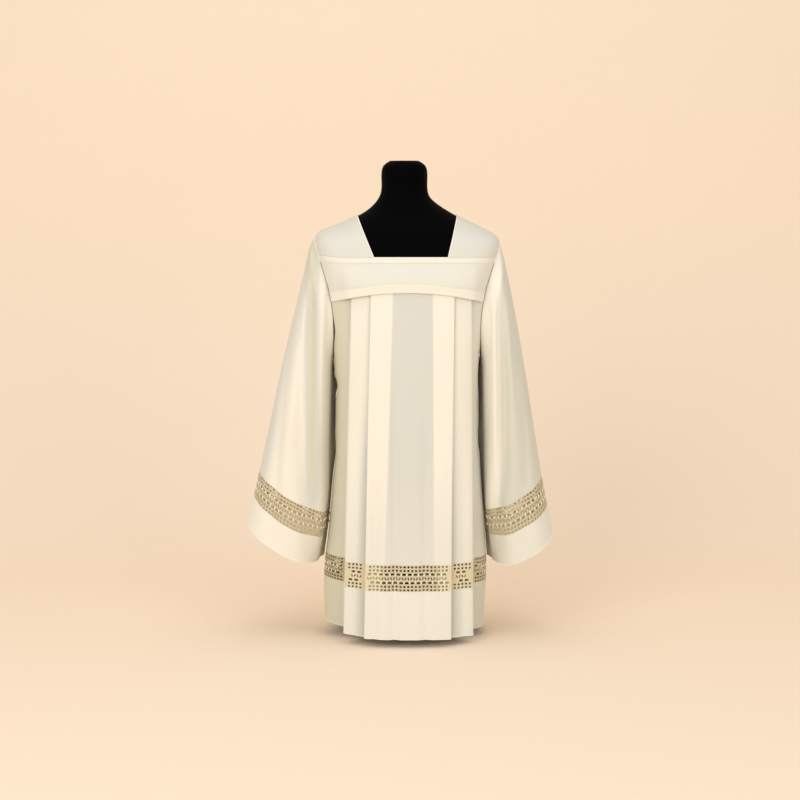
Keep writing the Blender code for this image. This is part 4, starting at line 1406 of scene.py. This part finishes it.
def neckEdgePoints():
    # round the square neckline: front edge, right side over the shoulder, back edge and left side
    points, steps = [], trimLook["neckSteps"]
    for face, order in (("front", 1), ("back", -1)):
        z = garment["neckline"][face]
        side = shares(steps)[::order]
        for share in side[1:-1]:
            x = lerp(-garment["neckCorner"]["left"], garment["neckCorner"]["right"], share)
            depth = baseDepth(abs(x), z, sideOf(x))
            points.append(settle((x, faceSign[face] * (depth + trimLook["neckLift"]), z)))
        corner = "right" if order > 0 else "left"
        points += [shoulderPoint(corner, order * along, 0.0) for along in acrossPlaces(steps)]
    return points


for face in ("front", "back"):
    yokePiece, flat = makeYoke(face)
    dress(yokePiece, "yoke_" + face)
    step, high = trimLook["layerStep"], garment["neckline"][face]
    facing, seam = trimLook["facing"], trimLook["seamBand"]
    bands = [("neckline_facing_", facing, lambda u: high - facing["gap"], lambda u: high - facing["height"]),
             ("yoke_seam_band_", seam, lambda u: yokeBottomAt(u, face) + seam["height"],
              lambda u: yokeBottomAt(u, face) + seam["gap"])]
    for name, look, top, bottom in bands:
        trimBand(yokeBand(name, face, top, bottom, step, look["tint"], look["rows"], trimLook["bandWall"]))
    lines = []
    for start in (lambda u: yokeBottomAt(u, face) + seam["stitch"],
                  lambda u: high - facing["height"] + facing["stitch"]):
        lines.append([settle(yokePoint(u * trimLook["stitchReach"], start(u), face,
                                       step + trimLook["stitchLift"]))
                      for u in acrossPlaces(trimLook["stitchSteps"])])
    stitchLines("yoke_stitches_" + face, lines)
    skirt, flat, _ = makeSkirt(face)
    dress(skirt, "skirt_" + face)
    lacePiece, flat, laceEnds = makeBodyLace(face)
    dress(lacePiece, "lace_" + face)
    hem, flat, hemRow = makeHem(face)
    dress(hem, "hem_" + face)
    trim(bodyPosts(face))
    tube("hem_edge_" + face, hemRow, trimLook["hemEdge"], turnedEdge)
    laceStitches("lace_stitches_" + face, laceEnds, face, trimLook["stitchLift"])
    print("body ready:", face)

for side in ("left", "right"):
    shoulderPiece, flat = makeShoulder(side)
    dress(shoulderPiece, "shoulder_" + side)
    sleevePiece, flat, armRing = makeSleeve(side)
    dress(sleevePiece, "sleeve_" + side)
    reach = round(len(armRing) * trimLook["armSeamReach"] / 360)
    inwards = Vector((sign[side] * armhole["gap"] / 2, 0, 0))
    tube("armhole_seam_" + side, [point - inwards for point in armRing[-reach:] + armRing[:reach + 1]],
         trimLook["armSeam"], linen)
    for face in ("front", "back"):
        lacePiece, flat, laceEnds, halfRing = makeSleeveLace(side, face)
        dress(lacePiece, "sleeve_lace_" + side + "_" + face)
        trim(sleevePosts(side, face, *halfRing))
        laceStitches("sleeve_lace_stitches_" + side + "_" + face, laceEnds, face,
                     trimLook["sleeveStitchLift"])
    cuff, flat, cuffRow = makeCuff(side)
    dress(cuff, "cuff_" + side)
    tube("cuff_edge_" + side, cuffRow, trimLook["hemEdge"], turnedEdge, closed=True)
    print("sleeve ready:", side)

tube("neckline_edge", neckEdgePoints(), trimLook["neckEdge"], turnedEdge, closed=True)
print("trims ready")


# Studio: a pale floor that turns up into a backdrop, soft lights and the camera

studio = {
    "floorHalfWidth": 6.0,
    "floorFront": -6.0,
    "floorBack": 1.6,
    "backdropTop": 5.0,
    "turnRadius": 1.0,
    "turnSteps": 16,
    "colour": (0.965, 0.815, 0.655),
    "roughness": 0.9,
    "air": (1.0, 0.97, 0.93, 1.0),
    "airStrength": 0.60,
    "cameraDistance": 4.0,
    "cameraPitch": 6.5,
    "aim": (-0.0158, 0.0, 0.5296),
    "lens": 80.0,
    "sensor": 36.0,
}
softLights = named("name place aim size power colour",
                   ("window light", (-1.9, -3.5, 2.1), (0, 0, 0.6), (2.4, 2.4), 52, (1.0, 0.985, 0.96)),
                   ("fill light", (2.4, -3.2, 1.6), (0, 0, 0.5), (2.0, 2.0), 24, (1.0, 0.98, 0.95)),
                   ("top light", (0.0, -0.6, 3.4), (0, 0, 0.6), (2.4, 2.0), 18, (1.0, 0.98, 0.95)))


def paperFinish():
    # plain paper on the object's side; from behind it is seen through, so that it hides nothing
    finish = plainFinish("pale backdrop paper", studio["colour"], studio["roughness"])
    tree = finish.node_tree
    side = addNode(tree, "ShaderNodeNewGeometry")
    clear = addNode(tree, "ShaderNodeBsdfTransparent")
    mix = addNode(tree, "ShaderNodeMixShader")
    connect(tree, (side.outputs["Backfacing"], mix.inputs["Fac"]), (clear.outputs["BSDF"], mix.inputs[2]),
            (tree.nodes["Principled BSDF"].outputs["BSDF"], mix.inputs[1]),
            (mix.outputs["Shader"], tree.nodes["Material Output"].inputs["Surface"]))
    return finish


def makeBackdrop():
    radius, back = studio["turnRadius"], studio["floorBack"]
    angles = [share * math.pi / 2 for share in shares(studio["turnSteps"])]
    turn = [(back - radius + radius * math.sin(angle), radius - radius * math.cos(angle)) for angle in angles]
    profile = [(studio["floorFront"], 0.0), *turn, (back, studio["backdropTop"])]
    half = studio["floorHalfWidth"]
    verts = [(x, y, z) for y, z in profile for x in (-half, half)]
    faces = [(2 * i, 2 * i + 1, 2 * i + 3, 2 * i + 2) for i in range(len(profile) - 1)]
    mesh = bpy.data.meshes.new("studio_backdrop")
    mesh.from_pydata(verts, [], faces)
    mesh.shade_smooth()
    mesh.materials.append(paperFinish())
    addObject("studio_backdrop", mesh)


def softLight(look):
    light = bpy.data.lights.new(look["name"], "AREA")
    light.shape = "RECTANGLE"
    light.size, light.size_y = look["size"]
    light.energy = look["power"]
    light.color = look["colour"]
    lamp = addObject(look["name"], light)
    lamp.location = look["place"]
    lamp.rotation_euler = (Vector(look["aim"]) - Vector(look["place"])).to_track_quat("-Z", "Y").to_euler()


makeBackdrop()
for look in softLights:
    softLight(look)

world = bpy.data.worlds.new("studio air")
world.use_nodes = True
setSockets(world.node_tree.nodes["Background"], {"Color": studio["air"], "Strength": studio["airStrength"]})
bpy.context.scene.world = world
bpy.context.scene.view_settings.view_transform = "Standard"

camera = addObject("camera", bpy.data.cameras.new("camera"))
pitch = math.radians(studio["cameraPitch"])
camera.data.sensor_width = studio["sensor"]
camera.data.lens = studio["lens"]
away = Vector((0, -math.cos(pitch), math.sin(pitch))) * studio["cameraDistance"]
camera.location = Vector(studio["aim"]) + away
camera.rotation_euler = (math.pi / 2 - pitch, 0, 0)
bpy.context.scene.camera = camera
print("scene ready")
